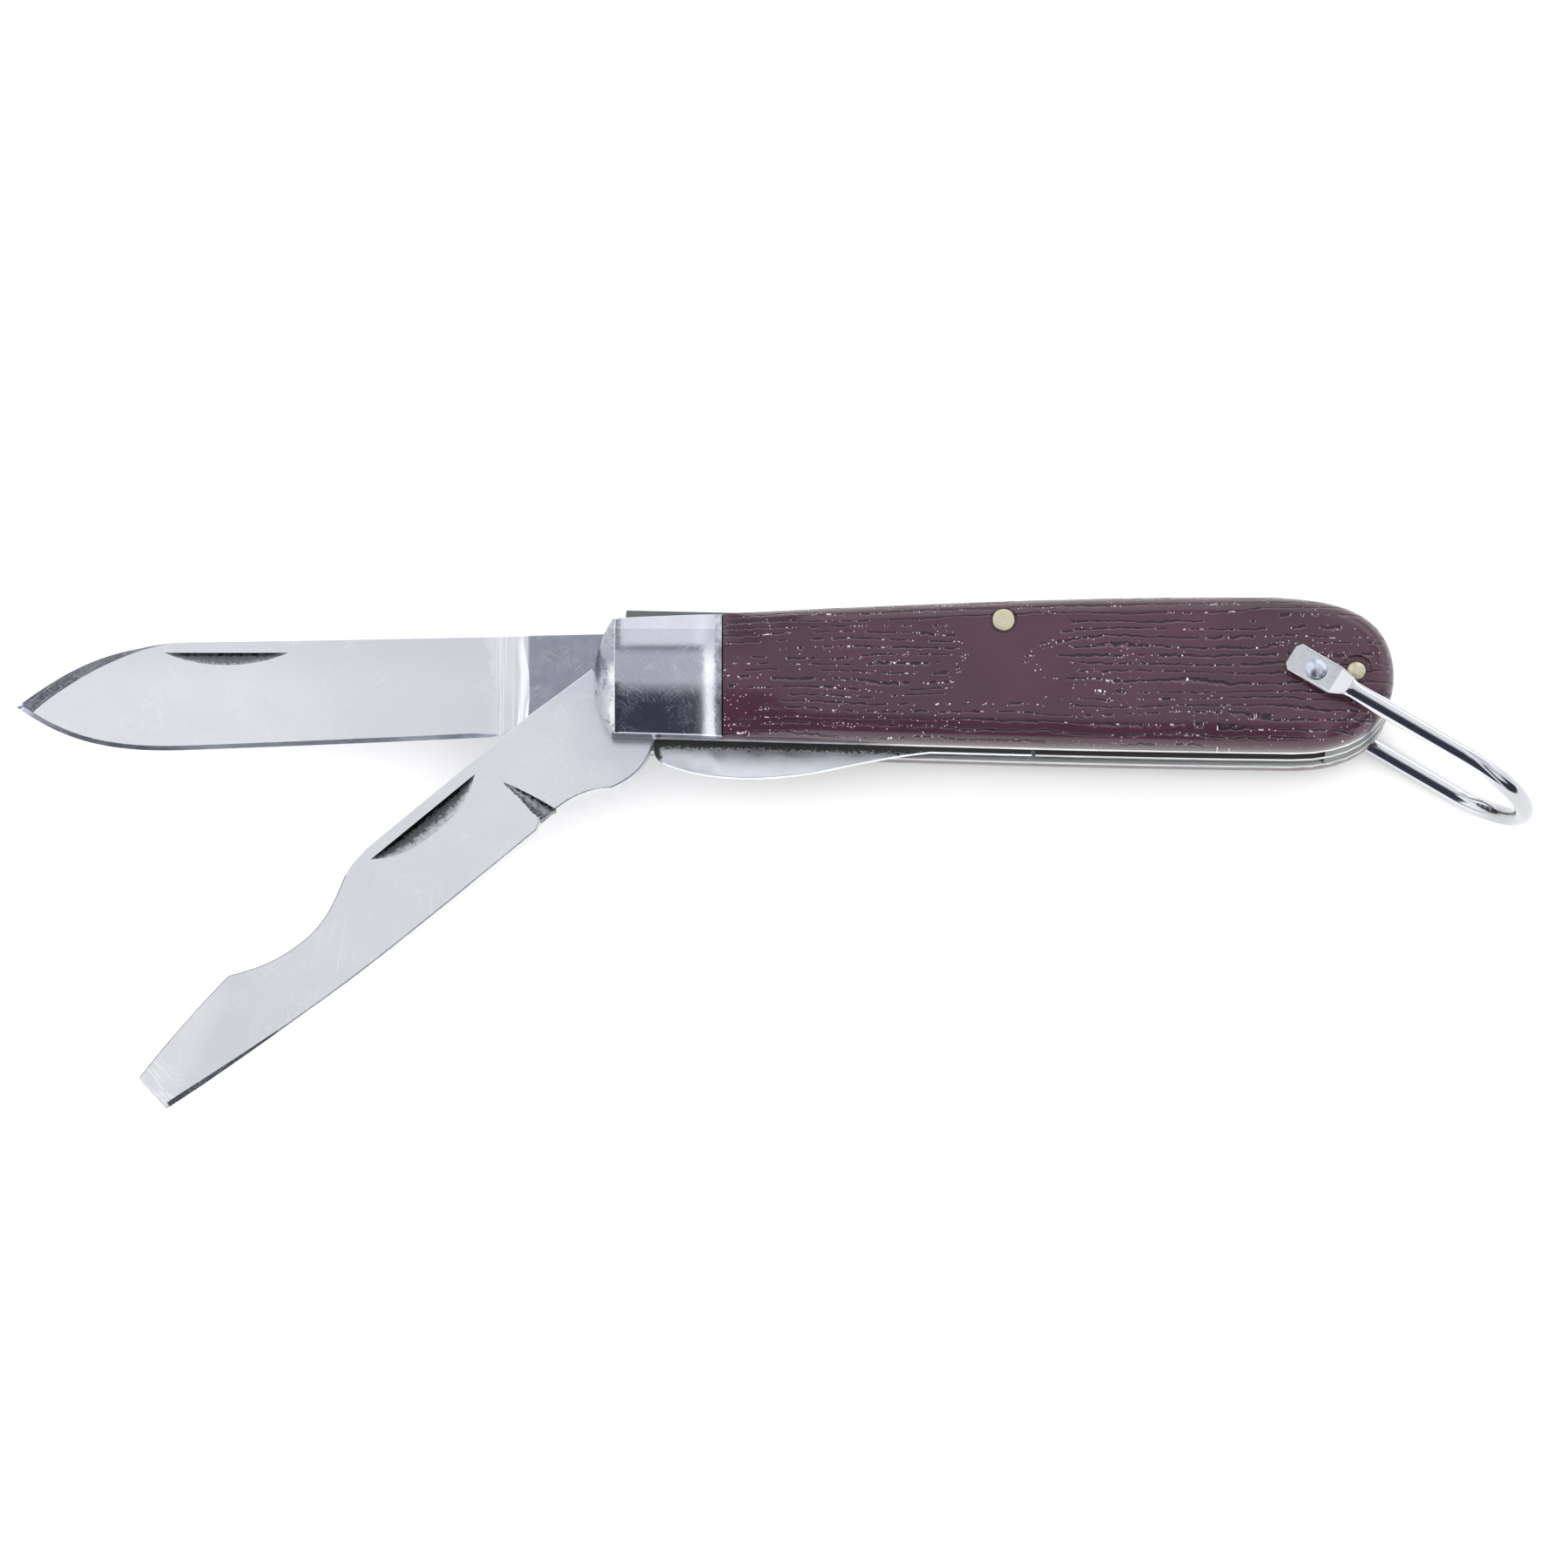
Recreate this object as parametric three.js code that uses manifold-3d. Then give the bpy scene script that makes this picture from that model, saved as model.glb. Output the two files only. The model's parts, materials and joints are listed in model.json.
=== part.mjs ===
// Two-blade electrician's folding knife with a shackle, lying on its rear side.
//
// Frame (millimetres): the origin is on the blade pivot's axis, at the level of the rear bolster's
// flat crest. +X runs along the handle to its butt, +Y to the spring side (the back of the knife),
// and +Z is the normal of the front face. The spear blade is fully open and points along -X. The
// screwdriver blade is part folded, so its backspring is lifted. The shackle hangs from the butt.

import * as THREE from 'three';
import { mergeVertices } from 'three/addons/utils/BufferGeometryUtils.js';
import Module from 'manifold-3d';

const wasm = await Module();
wasm.setup();

// ---------------------------------------------------------------- driving dimensions

// Thickness of each layer, counted from the rear face to the front face.
const SCALE_THICK = 4.1;
const LINER_THICK = 0.8;
const WELL_WIDTH = 2.3;
const BLADE_THICK = 2.2;
const SIDE_PLAY = (WELL_WIDTH - BLADE_THICK) / 2;

const REAR_LINER_Z = SCALE_THICK;
const REAR_WELL_Z = REAR_LINER_Z + LINER_THICK;
const CENTRE_LINER_Z = REAR_WELL_Z + WELL_WIDTH;
const FRONT_WELL_Z = CENTRE_LINER_Z + LINER_THICK;
const FRONT_LINER_Z = FRONT_WELL_Z + WELL_WIDTH;
const FRONT_SCALE_Z = FRONT_LINER_Z + LINER_THICK;
const HANDLE_THICK = FRONT_SCALE_Z + SCALE_THICK;
const MID_Z = HANDLE_THICK / 2;

// Handle outline.
const FRONT_X = -6.65;
const FRONT_RADIUS = 12.6;
const FRONT_MID_Y = 1.225;
const FRONT_HALF_HEIGHT = 7.075;
const BUTT = new THREE.Vector2(88.7, 1.9);
const TOP_CREST = new THREE.Vector2(70, 11.05);
const BOTTOM_CREST = new THREE.Vector2(76.5, -7.85);

// Bolsters and scales meet on one plane. The bolster's crown is an arc that is trimmed flat.
const BOLSTER_END_X = 8.7;
const CROWN_RADIUS = 10.5;
const CROWN_MID_Y = 1.5;
const CROWN_TRIM = 0.15;
const CROWN_REACH = 0.85;
const BOLSTER_BEVEL_X = -4.1;
const BEVEL_FOOT = 0.3;
const SCALE_EDGE_ROUND = 3;

// Pins: place of each, and its radii.
const CENTRE_PIN = new THREE.Vector2(42.15, 7.45);
const BUTT_PIN = new THREE.Vector2(84.1, 1.25);
const BAIL_PIN = new THREE.Vector2(79.2, 1);
const PIVOT_RADIUS = 1.6;
const PIVOT_END_DEPTH = 1.3;
const PIN_RADIUS = 0.95;
const BRASS_HEAD_RADIUS = 1.4;
const BRASS_HEAD_LENGTH = 1.5;
const BRASS_DOME = 0.25;
const BAIL_PIN_RADIUS = 1;
const BAIL_PIN_HEAD_RADIUS = 1.3;
const BAIL_PIN_RIM = 0.35;
const BAIL_PIN_DOME = 0.75;
const DOME_WAIST = 0.6;
const PIN_CLEARANCE = 0.15;
const RECESS_RADIUS = 1.9;
const RECESS_DEPTH = 0.45;

// Backsprings: the front part bends at its root, the rest is held by two pins.
const SPRING_TIP_X = -3;
const SPRING_ROOT = new THREE.Vector2(19, 7.6);
const SPRING_SPLIT_GAP = 0.5;
const DRIVER_SPRING_LIFT = THREE.MathUtils.degToRad(4.4);
const SPRING_FOOT_X = 80.5;

// Blades, each drawn fully open, with its pivot at the origin.
const DRIVER_REST_ANGLE = THREE.MathUtils.degToRad(40.5);
const TANG_NOTCH_X = -3.4;
const TANG_FLAT_Y = 4.6;
const SPEAR_TANG_RADIUS = 4.75;
const DRIVER_TANG_END_X = 4;
const SPEAR_EDGE_HALF = 0.2;
const SPEAR_PLUNGE_X = -15.6;
const DRIVER_TIP_HALF = 0.45;
const NICK_DEPTH = 0.4;

// Lock leaf: cut from the centre liner, with a thumb pad below the handle.
const LEAF_ROOT_X = 46;
const LEAF_TOP_Y = -3;
const LEAF_TONGUE_X = -3.5;
const LEAF_TONGUE_TOP_Y = -5.15;
const LEAF_SLIT = 0.4;
const BELOW_HANDLE_Y = -12;

// Shackle (bail): a round wire whose two ends are pressed flat.
const BAIL_WIRE_RADIUS = 1.15;
const BAIL_REST_ANGLE = THREE.MathUtils.degToRad(-31.3);
const BAIL_GAP = 0.2;
const BAIL_BEND_RADIUS = MID_Z + BAIL_GAP + BAIL_WIRE_RADIUS;
const BAIL_BEND_START = 20.4;
const BAIL_FLAT_THICK = 1.1;
const BAIL_FLAT_HALF_WIDTH = 1.85;
const BAIL_FLAT_CLIP = 0.6;
const BAIL_FLAT_BACK = -3.5;
const BAIL_FLAT_FRONT = 2.7;
const BAIL_NECK_END = 4.6;
const BAIL_WIRE_SIDES = 12;
const BAIL_WIRE_STEPS = 44;

const FAR = 200;
const MERGE = 1e-4;

// ---------------------------------------------------------------- helpers

function solidOf(geometry) {
  const bare = geometry.clone();
  bare.deleteAttribute('normal');
  bare.deleteAttribute('uv');
  const merged = mergeVertices(bare, MERGE / 10);
  return new wasm.Manifold(new wasm.Mesh({
    numProp: 3,
    vertProperties: new Float32Array(merged.attributes.position.array),
    triVerts: new Uint32Array(merged.index.array),
  }));
}

function geometryOf(solid) {
  const mesh = solid.getMesh();
  const geometry = new THREE.BufferGeometry();
  geometry.setAttribute('position', new THREE.BufferAttribute(mesh.vertProperties, 3));
  geometry.setIndex(new THREE.BufferAttribute(mesh.triVerts, 1));
  geometry.computeVertexNormals();
  return geometry;
}

function shapeThrough(points) {
  return new THREE.Shape(points.map(([x, y]) => new THREE.Vector2(x, y)));
}

// The outline as straight steps, without the doubled points where two curves join.
function stepped(shape, curveSegments) {
  const points = shape.getPoints(curveSegments);
  const isNew = (point, i) => point.distanceTo(points[(i + points.length - 1) % points.length]) > MERGE;
  return new THREE.Shape(points.filter(isNew));
}

// A flat plate: an outline in XY between two levels.
function plate(shape, low, high, curveSegments = 10) {
  const outline = stepped(shape, curveSegments);
  const geometry = new THREE.ExtrudeGeometry(outline, { depth: high - low, bevelEnabled: false });
  return solidOf(geometry.translate(0, 0, low));
}

// A bar along X whose section is an outline in YZ.
function bar(section, start, end) {
  const geometry = new THREE.ExtrudeGeometry(stepped(section, 16), { depth: end - start, bevelEnabled: false });
  const axes = new THREE.Matrix4().makeBasis(
    new THREE.Vector3(0, 1, 0),
    new THREE.Vector3(0, 0, 1),
    new THREE.Vector3(1, 0, 0),
  );
  return solidOf(geometry.applyMatrix4(axes).translate(start, 0, 0));
}

// A bar along Y whose section is an outline in XZ.
function crossbar(section, start, end) {
  const geometry = new THREE.ExtrudeGeometry(section, { depth: end - start, bevelEnabled: false });
  const axes = new THREE.Matrix4().makeBasis(
    new THREE.Vector3(1, 0, 0),
    new THREE.Vector3(0, 0, 1),
    new THREE.Vector3(0, -1, 0),
  );
  return solidOf(geometry.applyMatrix4(axes).translate(0, end, 0));
}

function block(low, high) {
  const size = new THREE.Vector3().subVectors(high, low);
  const middle = new THREE.Vector3().addVectors(low, high).multiplyScalar(0.5);
  return solidOf(new THREE.BoxGeometry(size.x, size.y, size.z).translate(middle.x, middle.y, middle.z));
}

function slab(minX, maxX, minZ, maxZ) {
  return block(new THREE.Vector3(minX, -FAR, minZ), new THREE.Vector3(maxX, FAR, maxZ));
}

// A solid turned about a line through a point, along Z; the profile is [radius, level] pairs.
function turned(profile, place, segments = 24) {
  const points = profile.map(([radius, level]) => new THREE.Vector2(radius, level));
  const geometry = new THREE.LatheGeometry(points, segments);
  return solidOf(geometry.rotateX(Math.PI / 2).translate(place.x, place.y, 0));
}

function rod(place, radius, low, high) {
  return turned([[0, low], [radius, low], [radius, high], [0, high]], place);
}

function drill(solid, place, radius) {
  return solid.subtract(rod(place, radius + PIN_CLEARANCE, -FAR, FAR));
}

const ORIGIN = new THREE.Vector3();
const parts = new THREE.Group();

// The solid's own point "pivot" lands on "place", and the part is turned there about Z.
function addPart(name, solid, look, place = ORIGIN, turn = 0, pivot = ORIGIN) {
  const geometry = geometryOf(solid).translate(-pivot.x, -pivot.y, -pivot.z);
  const mesh = new THREE.Mesh(geometry, new THREE.MeshStandardMaterial(look));
  mesh.name = name;
  mesh.position.copy(place);
  mesh.rotation.z = turn;
  parts.add(mesh);
}

const BLADE_STEEL = { color: 0xcdced2, roughness: 0.22, metalness: 1 };
const SPRING_STEEL = { color: 0x8d8f92, roughness: 0.4, metalness: 1 };
const NICKEL_SILVER = { color: 0xc3c6cf, roughness: 0.15, metalness: 1 };
const BROWN_PLASTIC = { color: 0x4e3033, roughness: 0.28, metalness: 0 };
const BRASS = { color: 0xc9b36a, roughness: 0.3, metalness: 1 };
const CHROME = { color: 0xd6d7d8, roughness: 0.12, metalness: 1 };

// ---------------------------------------------------------------- handle outline

function handleShape(frontIsRound = true) {
  const halfAngle = Math.asin(FRONT_HALF_HEIGHT / FRONT_RADIUS);
  const cornerX = FRONT_X + FRONT_RADIUS * (1 - Math.cos(halfAngle));
  const shape = new THREE.Shape();
  shape.moveTo(cornerX, FRONT_MID_Y - FRONT_HALF_HEIGHT);
  if (frontIsRound) {
    shape.absarc(
      FRONT_X + FRONT_RADIUS, FRONT_MID_Y, FRONT_RADIUS,
      Math.PI + halfAngle, Math.PI - halfAngle, true,
    );
  } else {
    shape.lineTo(cornerX, FRONT_MID_Y + FRONT_HALF_HEIGHT);
  }
  shape.bezierCurveTo(20, 9.6, 45, TOP_CREST.y, TOP_CREST.x, TOP_CREST.y);
  shape.bezierCurveTo(80, 11.1, 88.1, 10.4, BUTT.x, BUTT.y);
  shape.bezierCurveTo(88.9, -3.2, 85.7, -8, BOTTOM_CREST.x, BOTTOM_CREST.y);
  shape.bezierCurveTo(50, -7.6, 22, -6.5, cornerX, FRONT_MID_Y - FRONT_HALF_HEIGHT);
  return shape;
}

function handlePlate(low, high) {
  return plate(handleShape(), low, high);
}

// ---------------------------------------------------------------- scales

// The two scales as one block with rounded edges on both faces; the layers between are cut out.
function scaleBlank() {
  const geometry = new THREE.ExtrudeGeometry(stepped(handleShape(false), 10), {
    depth: HANDLE_THICK - 2 * SCALE_EDGE_ROUND,
    bevelThickness: SCALE_EDGE_ROUND,
    bevelSize: SCALE_EDGE_ROUND,
    bevelOffset: -SCALE_EDGE_ROUND,
    bevelSegments: 5,
  });
  let blank = solidOf(geometry.translate(0, 0, SCALE_EDGE_ROUND));
  blank = blank.intersect(slab(BOLSTER_END_X, FAR, -FAR, FAR));
  for (const place of [CENTRE_PIN, BUTT_PIN]) {
    blank = drill(blank, place, PIN_RADIUS);
    for (const [low, high] of [[-FAR, BRASS_HEAD_LENGTH], [HANDLE_THICK - BRASS_HEAD_LENGTH, FAR]]) {
      blank = blank.subtract(rod(place, BRASS_HEAD_RADIUS + PIN_CLEARANCE, low, high));
    }
    for (const [low, high] of [[-FAR, RECESS_DEPTH], [HANDLE_THICK - RECESS_DEPTH, FAR]]) {
      blank = blank.subtract(rod(place, RECESS_RADIUS, low, high));
    }
  }
  return drill(blank, BAIL_PIN, BAIL_PIN_RADIUS);
}

function addScales() {
  const blank = scaleBlank();
  addPart('front_scale', blank.intersect(slab(-FAR, FAR, FRONT_SCALE_Z, FAR)), BROWN_PLASTIC);
  addPart('rear_scale', blank.intersect(slab(-FAR, FAR, -FAR, REAR_LINER_Z)), BROWN_PLASTIC);
}

// ---------------------------------------------------------------- bolsters

// Section of both bolsters across the handle: an arc on each face, trimmed to a flat crest.
function crownSection() {
  const halfAngle = Math.asin(CROWN_REACH);
  const frontCentre = HANDLE_THICK + CROWN_TRIM - CROWN_RADIUS;
  const rearCentre = CROWN_RADIUS - CROWN_TRIM;
  const section = new THREE.Shape();
  section.absarc(
    CROWN_MID_Y, frontCentre, CROWN_RADIUS,
    Math.PI / 2 - halfAngle, Math.PI / 2 + halfAngle, false,
  );
  section.absarc(
    CROWN_MID_Y, rearCentre, CROWN_RADIUS,
    -Math.PI / 2 - halfAngle, -Math.PI / 2 + halfAngle, false,
  );
  return section;
}

// The sloped front of each bolster, as the wedge that it cuts away outside the layers.
function frontBevelCut(baseZ, crestZ) {
  const rise = crestZ - baseZ;
  const run = BOLSTER_BEVEL_X - FRONT_X;
  return crossbar(shapeThrough([
    [FRONT_X - run, baseZ - rise],
    [BOLSTER_BEVEL_X + run, crestZ + rise],
    [FRONT_X - run, crestZ + rise],
  ]), -FAR, FAR);
}

function addBolsters() {
  const crown = bar(crownSection(), -FAR, BOLSTER_END_X);
  let blank = handlePlate(0, HANDLE_THICK).intersect(crown);
  blank = blank.subtract(frontBevelCut(FRONT_SCALE_Z + BEVEL_FOOT, HANDLE_THICK));
  blank = blank.subtract(frontBevelCut(REAR_LINER_Z - BEVEL_FOOT, 0));
  const pivotHole = rod(
    ORIGIN, PIVOT_RADIUS + PIN_CLEARANCE,
    PIVOT_END_DEPTH - PIN_CLEARANCE, HANDLE_THICK - PIVOT_END_DEPTH + PIN_CLEARANCE,
  );
  blank = blank.subtract(pivotHole);
  addPart('front_bolster', blank.intersect(slab(-FAR, FAR, FRONT_SCALE_Z, FAR)), NICKEL_SILVER);
  addPart('rear_bolster', blank.intersect(slab(-FAR, FAR, -FAR, REAR_LINER_Z)), NICKEL_SILVER);
}

// ---------------------------------------------------------------- liners and lock leaf

function drilledPlate(solid) {
  let drilled = drill(solid, ORIGIN, PIVOT_RADIUS);
  drilled = drill(drilled, CENTRE_PIN, PIN_RADIUS);
  drilled = drill(drilled, BUTT_PIN, PIN_RADIUS);
  return drill(drilled, BAIL_PIN, BAIL_PIN_RADIUS);
}

// Outline of the leaf inside the handle, grown by the slit when it is used as the cut.
function leafBodyShape(grow) {
  return shapeThrough([
    [LEAF_TONGUE_X - grow, LEAF_TONGUE_TOP_Y + grow],
    [4.6, LEAF_TONGUE_TOP_Y + grow],
    [6, LEAF_TOP_Y + grow],
    [LEAF_ROOT_X, LEAF_TOP_Y + grow],
    [LEAF_ROOT_X, BELOW_HANDLE_Y],
    [LEAF_TONGUE_X - grow, BELOW_HANDLE_Y],
  ]);
}

function thumbPadShape() {
  const shape = new THREE.Shape();
  shape.moveTo(0.5, -5.4);
  shape.lineTo(0.5, -6.8);
  shape.quadraticCurveTo(0.7, -8, 2.4, -8.6);
  shape.bezierCurveTo(7, -10.4, 14, -10.8, 22.3, -8.9);
  shape.quadraticCurveTo(30, -7.2, 34, -6.88);
  shape.lineTo(34, -5.4);
  return shape;
}

function addLiners() {
  addPart('rear_liner', drilledPlate(handlePlate(REAR_LINER_Z, REAR_WELL_Z)), NICKEL_SILVER);
  addPart('front_liner', drilledPlate(handlePlate(FRONT_LINER_Z, FRONT_SCALE_Z)), NICKEL_SILVER);
  const centre = drilledPlate(handlePlate(CENTRE_LINER_Z, FRONT_WELL_Z));
  const cut = plate(leafBodyShape(LEAF_SLIT), -FAR, FAR);
  addPart('centre_liner', centre.subtract(cut), NICKEL_SILVER);
  const leafBody = centre.intersect(plate(leafBodyShape(0), -FAR, FAR))
    .intersect(slab(-FAR, LEAF_ROOT_X - LEAF_SLIT, -FAR, FAR));
  const pad = plate(thumbPadShape(), CENTRE_LINER_Z, FRONT_WELL_Z);
  addPart('lock_leaf', leafBody.add(pad), NICKEL_SILVER);
}

// ---------------------------------------------------------------- backsprings

// The open space of a well, below the spring and in front of its foot. The spring has a nose that
// bears on the tang, a relief over the blade's kick, and a belly that holds the centre pin.
function wellShape() {
  const shape = new THREE.Shape();
  shape.moveTo(-20, 4.8);
  shape.lineTo(2.9, 4.8);
  shape.quadraticCurveTo(3.2, 7.2, 6, 7.2);
  shape.lineTo(11.5, 7.2);
  shape.quadraticCurveTo(13.5, 5.7, 16.5, 5.7);
  shape.lineTo(42, 5.8);
  shape.quadraticCurveTo(50, 5.9, 57, 6.7);
  shape.quadraticCurveTo(66, 7.2, 73, 6.2);
  shape.quadraticCurveTo(80, 5.2, SPRING_FOOT_X, 1.5);
  shape.lineTo(SPRING_FOOT_X, -20);
  shape.lineTo(-20, -20);
  return shape;
}

function springPlate(low) {
  const wellCut = plate(wellShape(), -FAR, FAR, 5);
  return drilledPlate(handlePlate(low, low + BLADE_THICK)).subtract(wellCut);
}

function addSpring(name, wellZ, lift) {
  const low = wellZ + SIDE_PLAY;
  const whole = springPlate(low);
  const heelStart = SPRING_ROOT.x + SPRING_SPLIT_GAP / 2;
  const armEnd = SPRING_ROOT.x - SPRING_SPLIT_GAP / 2;
  addPart(name + '_spring_heel', whole.intersect(slab(heelStart, FAR, -FAR, FAR)), SPRING_STEEL);
  const arm = whole.intersect(slab(SPRING_TIP_X, armEnd, -FAR, FAR));
  const root = new THREE.Vector3(SPRING_ROOT.x, SPRING_ROOT.y, 0);
  addPart(name + '_spring_arm', arm, SPRING_STEEL, root, -lift, root);
}

// ---------------------------------------------------------------- blades

// Lower side of a tang, from its end round the kick to the start of the cutting part.
function traceKick(shape) {
  shape.lineTo(-2.2, -TANG_FLAT_Y);
  shape.quadraticCurveTo(-3.6, -4.8, -4.9, -5.7);
  shape.quadraticCurveTo(-7.5, -7.2, -11.2, -6.1);
  shape.quadraticCurveTo(-13.6, -4.2, -16.5, -3.9);
}

function spearShape() {
  const tangAngle = Math.asin(TANG_FLAT_Y / SPEAR_TANG_RADIUS);
  const shape = new THREE.Shape();
  shape.moveTo(TANG_NOTCH_X, 8.05);
  shape.lineTo(TANG_NOTCH_X, TANG_FLAT_Y);
  shape.absarc(0, 0, SPEAR_TANG_RADIUS, tangAngle, -tangAngle, true);
  traceKick(shape);
  shape.quadraticCurveTo(-18.3, -4.5, -20, -4.6);
  shape.bezierCurveTo(-32, -5.2, -46, -5.8, -55.6, -6.15);
  shape.bezierCurveTo(-65.5, -6.5, -70.5, -4.7, -75.9, -0.8);
  shape.bezierCurveTo(-70, 3.7, -65.1, 7, -54.6, 7.1);
  shape.bezierCurveTo(-41.7, 7.25, -20, 7.7, TANG_NOTCH_X, 8.05);
  return shape;
}

// The wedges that the grinding wheel takes off both faces of the spear blade, from spine to edge.
function spearGrind() {
  const edgeY = -6.2;
  const spineY = 7.4;
  const slope = (BLADE_THICK / 2 - SPEAR_EDGE_HALF) / (spineY - edgeY);
  const halfAt = (y) => SPEAR_EDGE_HALF + slope * (y - edgeY);
  const low = edgeY - 2;
  const high = spineY + 2;
  const faces = [1, -1].map((side) => bar(shapeThrough([
    [low, side * halfAt(low)],
    [high, side * halfAt(high)],
    [high, side * BLADE_THICK],
    [low, side * BLADE_THICK],
  ]), -FAR, SPEAR_PLUNGE_X));
  return faces[0].add(faces[1]);
}

// A thumbnail nick: straight along the spine side, a shallow arc below.
function nickCut(startX, endX, topY, drop) {
  const shape = new THREE.Shape();
  shape.moveTo(startX, topY);
  shape.quadraticCurveTo((startX + endX) / 2, topY - 2 * drop, endX, topY);
  return plate(shape, BLADE_THICK / 2 - NICK_DEPTH, BLADE_THICK);
}

function addSpearBlade() {
  let blade = plate(spearShape(), -BLADE_THICK / 2, BLADE_THICK / 2);
  blade = blade.subtract(spearGrind());
  blade = blade.subtract(nickCut(-58.2, -43.4, 5.65, 1.5));
  blade = drill(blade, ORIGIN, PIVOT_RADIUS);
  addPart('spear_blade', blade, BLADE_STEEL, new THREE.Vector3(0, 0, REAR_WELL_Z + WELL_WIDTH / 2));
}

function driverShape() {
  const shape = new THREE.Shape();
  shape.moveTo(TANG_NOTCH_X, 6.6);
  shape.lineTo(TANG_NOTCH_X, TANG_FLAT_Y);
  shape.lineTo(DRIVER_TANG_END_X, TANG_FLAT_Y);
  shape.lineTo(DRIVER_TANG_END_X, -TANG_FLAT_Y);
  traceKick(shape);
  shape.lineTo(-20.2, -3.65);
  shape.lineTo(-21.4, -4.3);
  shape.bezierCurveTo(-30, -4.3, -42, -4.35, -50.3, -4);
  shape.quadraticCurveTo(-62, -3.4, -76.5, -1.8);
  shape.lineTo(-76.65, 3.15);
  shape.quadraticCurveTo(-69, 4.9, -60.6, 5.75);
  shape.bezierCurveTo(-57.6, 4.3, -55.2, 3.25, -50.9, 3.25);
  shape.bezierCurveTo(-45.6, 3.3, -42.8, 6.6, -40.2, 6.82);
  shape.lineTo(-38.2, 7.1);
  shape.lineTo(-13.2, 7.1);
  return shape;
}

// The tip is ground thinner on both faces, to a blunt end.
function driverTipGrind() {
  const startX = -57;
  const tipX = -76.6;
  const full = BLADE_THICK / 2;
  const slope = (full - DRIVER_TIP_HALF) / (startX - tipX);
  const past = 2;
  const faces = [1, -1].map((side) => crossbar(shapeThrough([
    [startX + past, side * (full + past * slope)],
    [tipX - past, side * (DRIVER_TIP_HALF - past * slope)],
    [tipX - past, side * 2 * full],
    [startX + past, side * 2 * full],
  ]), -FAR, FAR));
  return faces[0].add(faces[1]);
}

function addDriverBlade() {
  let blade = plate(driverShape(), -BLADE_THICK / 2, BLADE_THICK / 2);
  blade = blade.subtract(driverTipGrind());
  blade = blade.subtract(nickCut(-38.7, -22.6, 5.65, 2.1));
  blade = drill(blade, ORIGIN, PIVOT_RADIUS);
  const place = new THREE.Vector3(0, 0, FRONT_WELL_Z + WELL_WIDTH / 2);
  addPart('screwdriver_blade', blade, BLADE_STEEL, place, DRIVER_REST_ANGLE);
}

// ---------------------------------------------------------------- pins

function brassPin(place) {
  const dome = BRASS_DOME;
  const top = HANDLE_THICK;
  const waist = BRASS_HEAD_RADIUS * DOME_WAIST;
  const shoulder = BRASS_HEAD_LENGTH - PIN_CLEARANCE;
  return turned([
    [0, 0],
    [waist, dome / 4],
    [BRASS_HEAD_RADIUS, dome],
    [BRASS_HEAD_RADIUS, shoulder],
    [PIN_RADIUS, shoulder],
    [PIN_RADIUS, top - shoulder],
    [BRASS_HEAD_RADIUS, top - shoulder],
    [BRASS_HEAD_RADIUS, top - dome],
    [waist, top - dome / 4],
    [0, top],
  ], place);
}

function addPins() {
  const pivot = rod(ORIGIN, PIVOT_RADIUS, PIVOT_END_DEPTH, HANDLE_THICK - PIVOT_END_DEPTH);
  addPart('pivot_pin', pivot, SPRING_STEEL);
  addPart('centre_pin', brassPin(CENTRE_PIN), BRASS);
  addPart('butt_pin', brassPin(BUTT_PIN), BRASS);

  const seat = BAIL_GAP + BAIL_FLAT_THICK + PIN_CLEARANCE;
  const waist = BAIL_PIN_HEAD_RADIUS * DOME_WAIST;
  const shoulder = BAIL_PIN_DOME * 0.85;
  const rear = -seat;
  const front = HANDLE_THICK + seat;
  addPart('bail_pin', turned([
    [0, rear - BAIL_PIN_DOME],
    [waist, rear - shoulder],
    [BAIL_PIN_HEAD_RADIUS, rear - BAIL_PIN_RIM],
    [BAIL_PIN_HEAD_RADIUS, rear],
    [BAIL_PIN_RADIUS, rear],
    [BAIL_PIN_RADIUS, front],
    [BAIL_PIN_HEAD_RADIUS, front],
    [BAIL_PIN_HEAD_RADIUS, front + BAIL_PIN_RIM],
    [waist, front + shoulder],
    [0, front + BAIL_PIN_DOME],
  ], BAIL_PIN), CHROME);
}

// ---------------------------------------------------------------- shackle

// The wire's centre line in XZ, with the pin at x = 0 and the knife's middle plane at z = 0.
class BailPath extends THREE.CurvePath {
  constructor() {
    super();
    const start = new THREE.Vector3(BAIL_NECK_END, 0, BAIL_BEND_RADIUS);
    const bend = new THREE.Vector3(BAIL_BEND_START, 0, BAIL_BEND_RADIUS);
    const reach = BAIL_BEND_RADIUS * 4 / 3 * Math.tan(Math.PI / 8);
    const apex = new THREE.Vector3(BAIL_BEND_START + BAIL_BEND_RADIUS, 0, 0);
    this.add(new THREE.LineCurve3(start, bend));
    this.add(new THREE.CubicBezierCurve3(
      bend,
      bend.clone().add(new THREE.Vector3(reach, 0, 0)),
      apex.clone().add(new THREE.Vector3(0, 0, reach)),
      apex,
    ));
    const flip = (point) => point.clone().multiply(new THREE.Vector3(1, 1, -1));
    this.add(new THREE.CubicBezierCurve3(
      apex,
      apex.clone().add(new THREE.Vector3(0, 0, -reach)),
      flip(bend).add(new THREE.Vector3(reach, 0, 0)),
      flip(bend),
    ));
    this.add(new THREE.LineCurve3(flip(bend), flip(start)));
  }
}

function wireSection() {
  const corner = (i) => {
    const angle = (i + 0.5) * 2 * Math.PI / BAIL_WIRE_SIDES;
    return [BAIL_WIRE_RADIUS * Math.cos(angle), BAIL_WIRE_RADIUS * Math.sin(angle)];
  };
  return shapeThrough(Array.from({ length: BAIL_WIRE_SIDES }, (_, i) => corner(i)));
}

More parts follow.
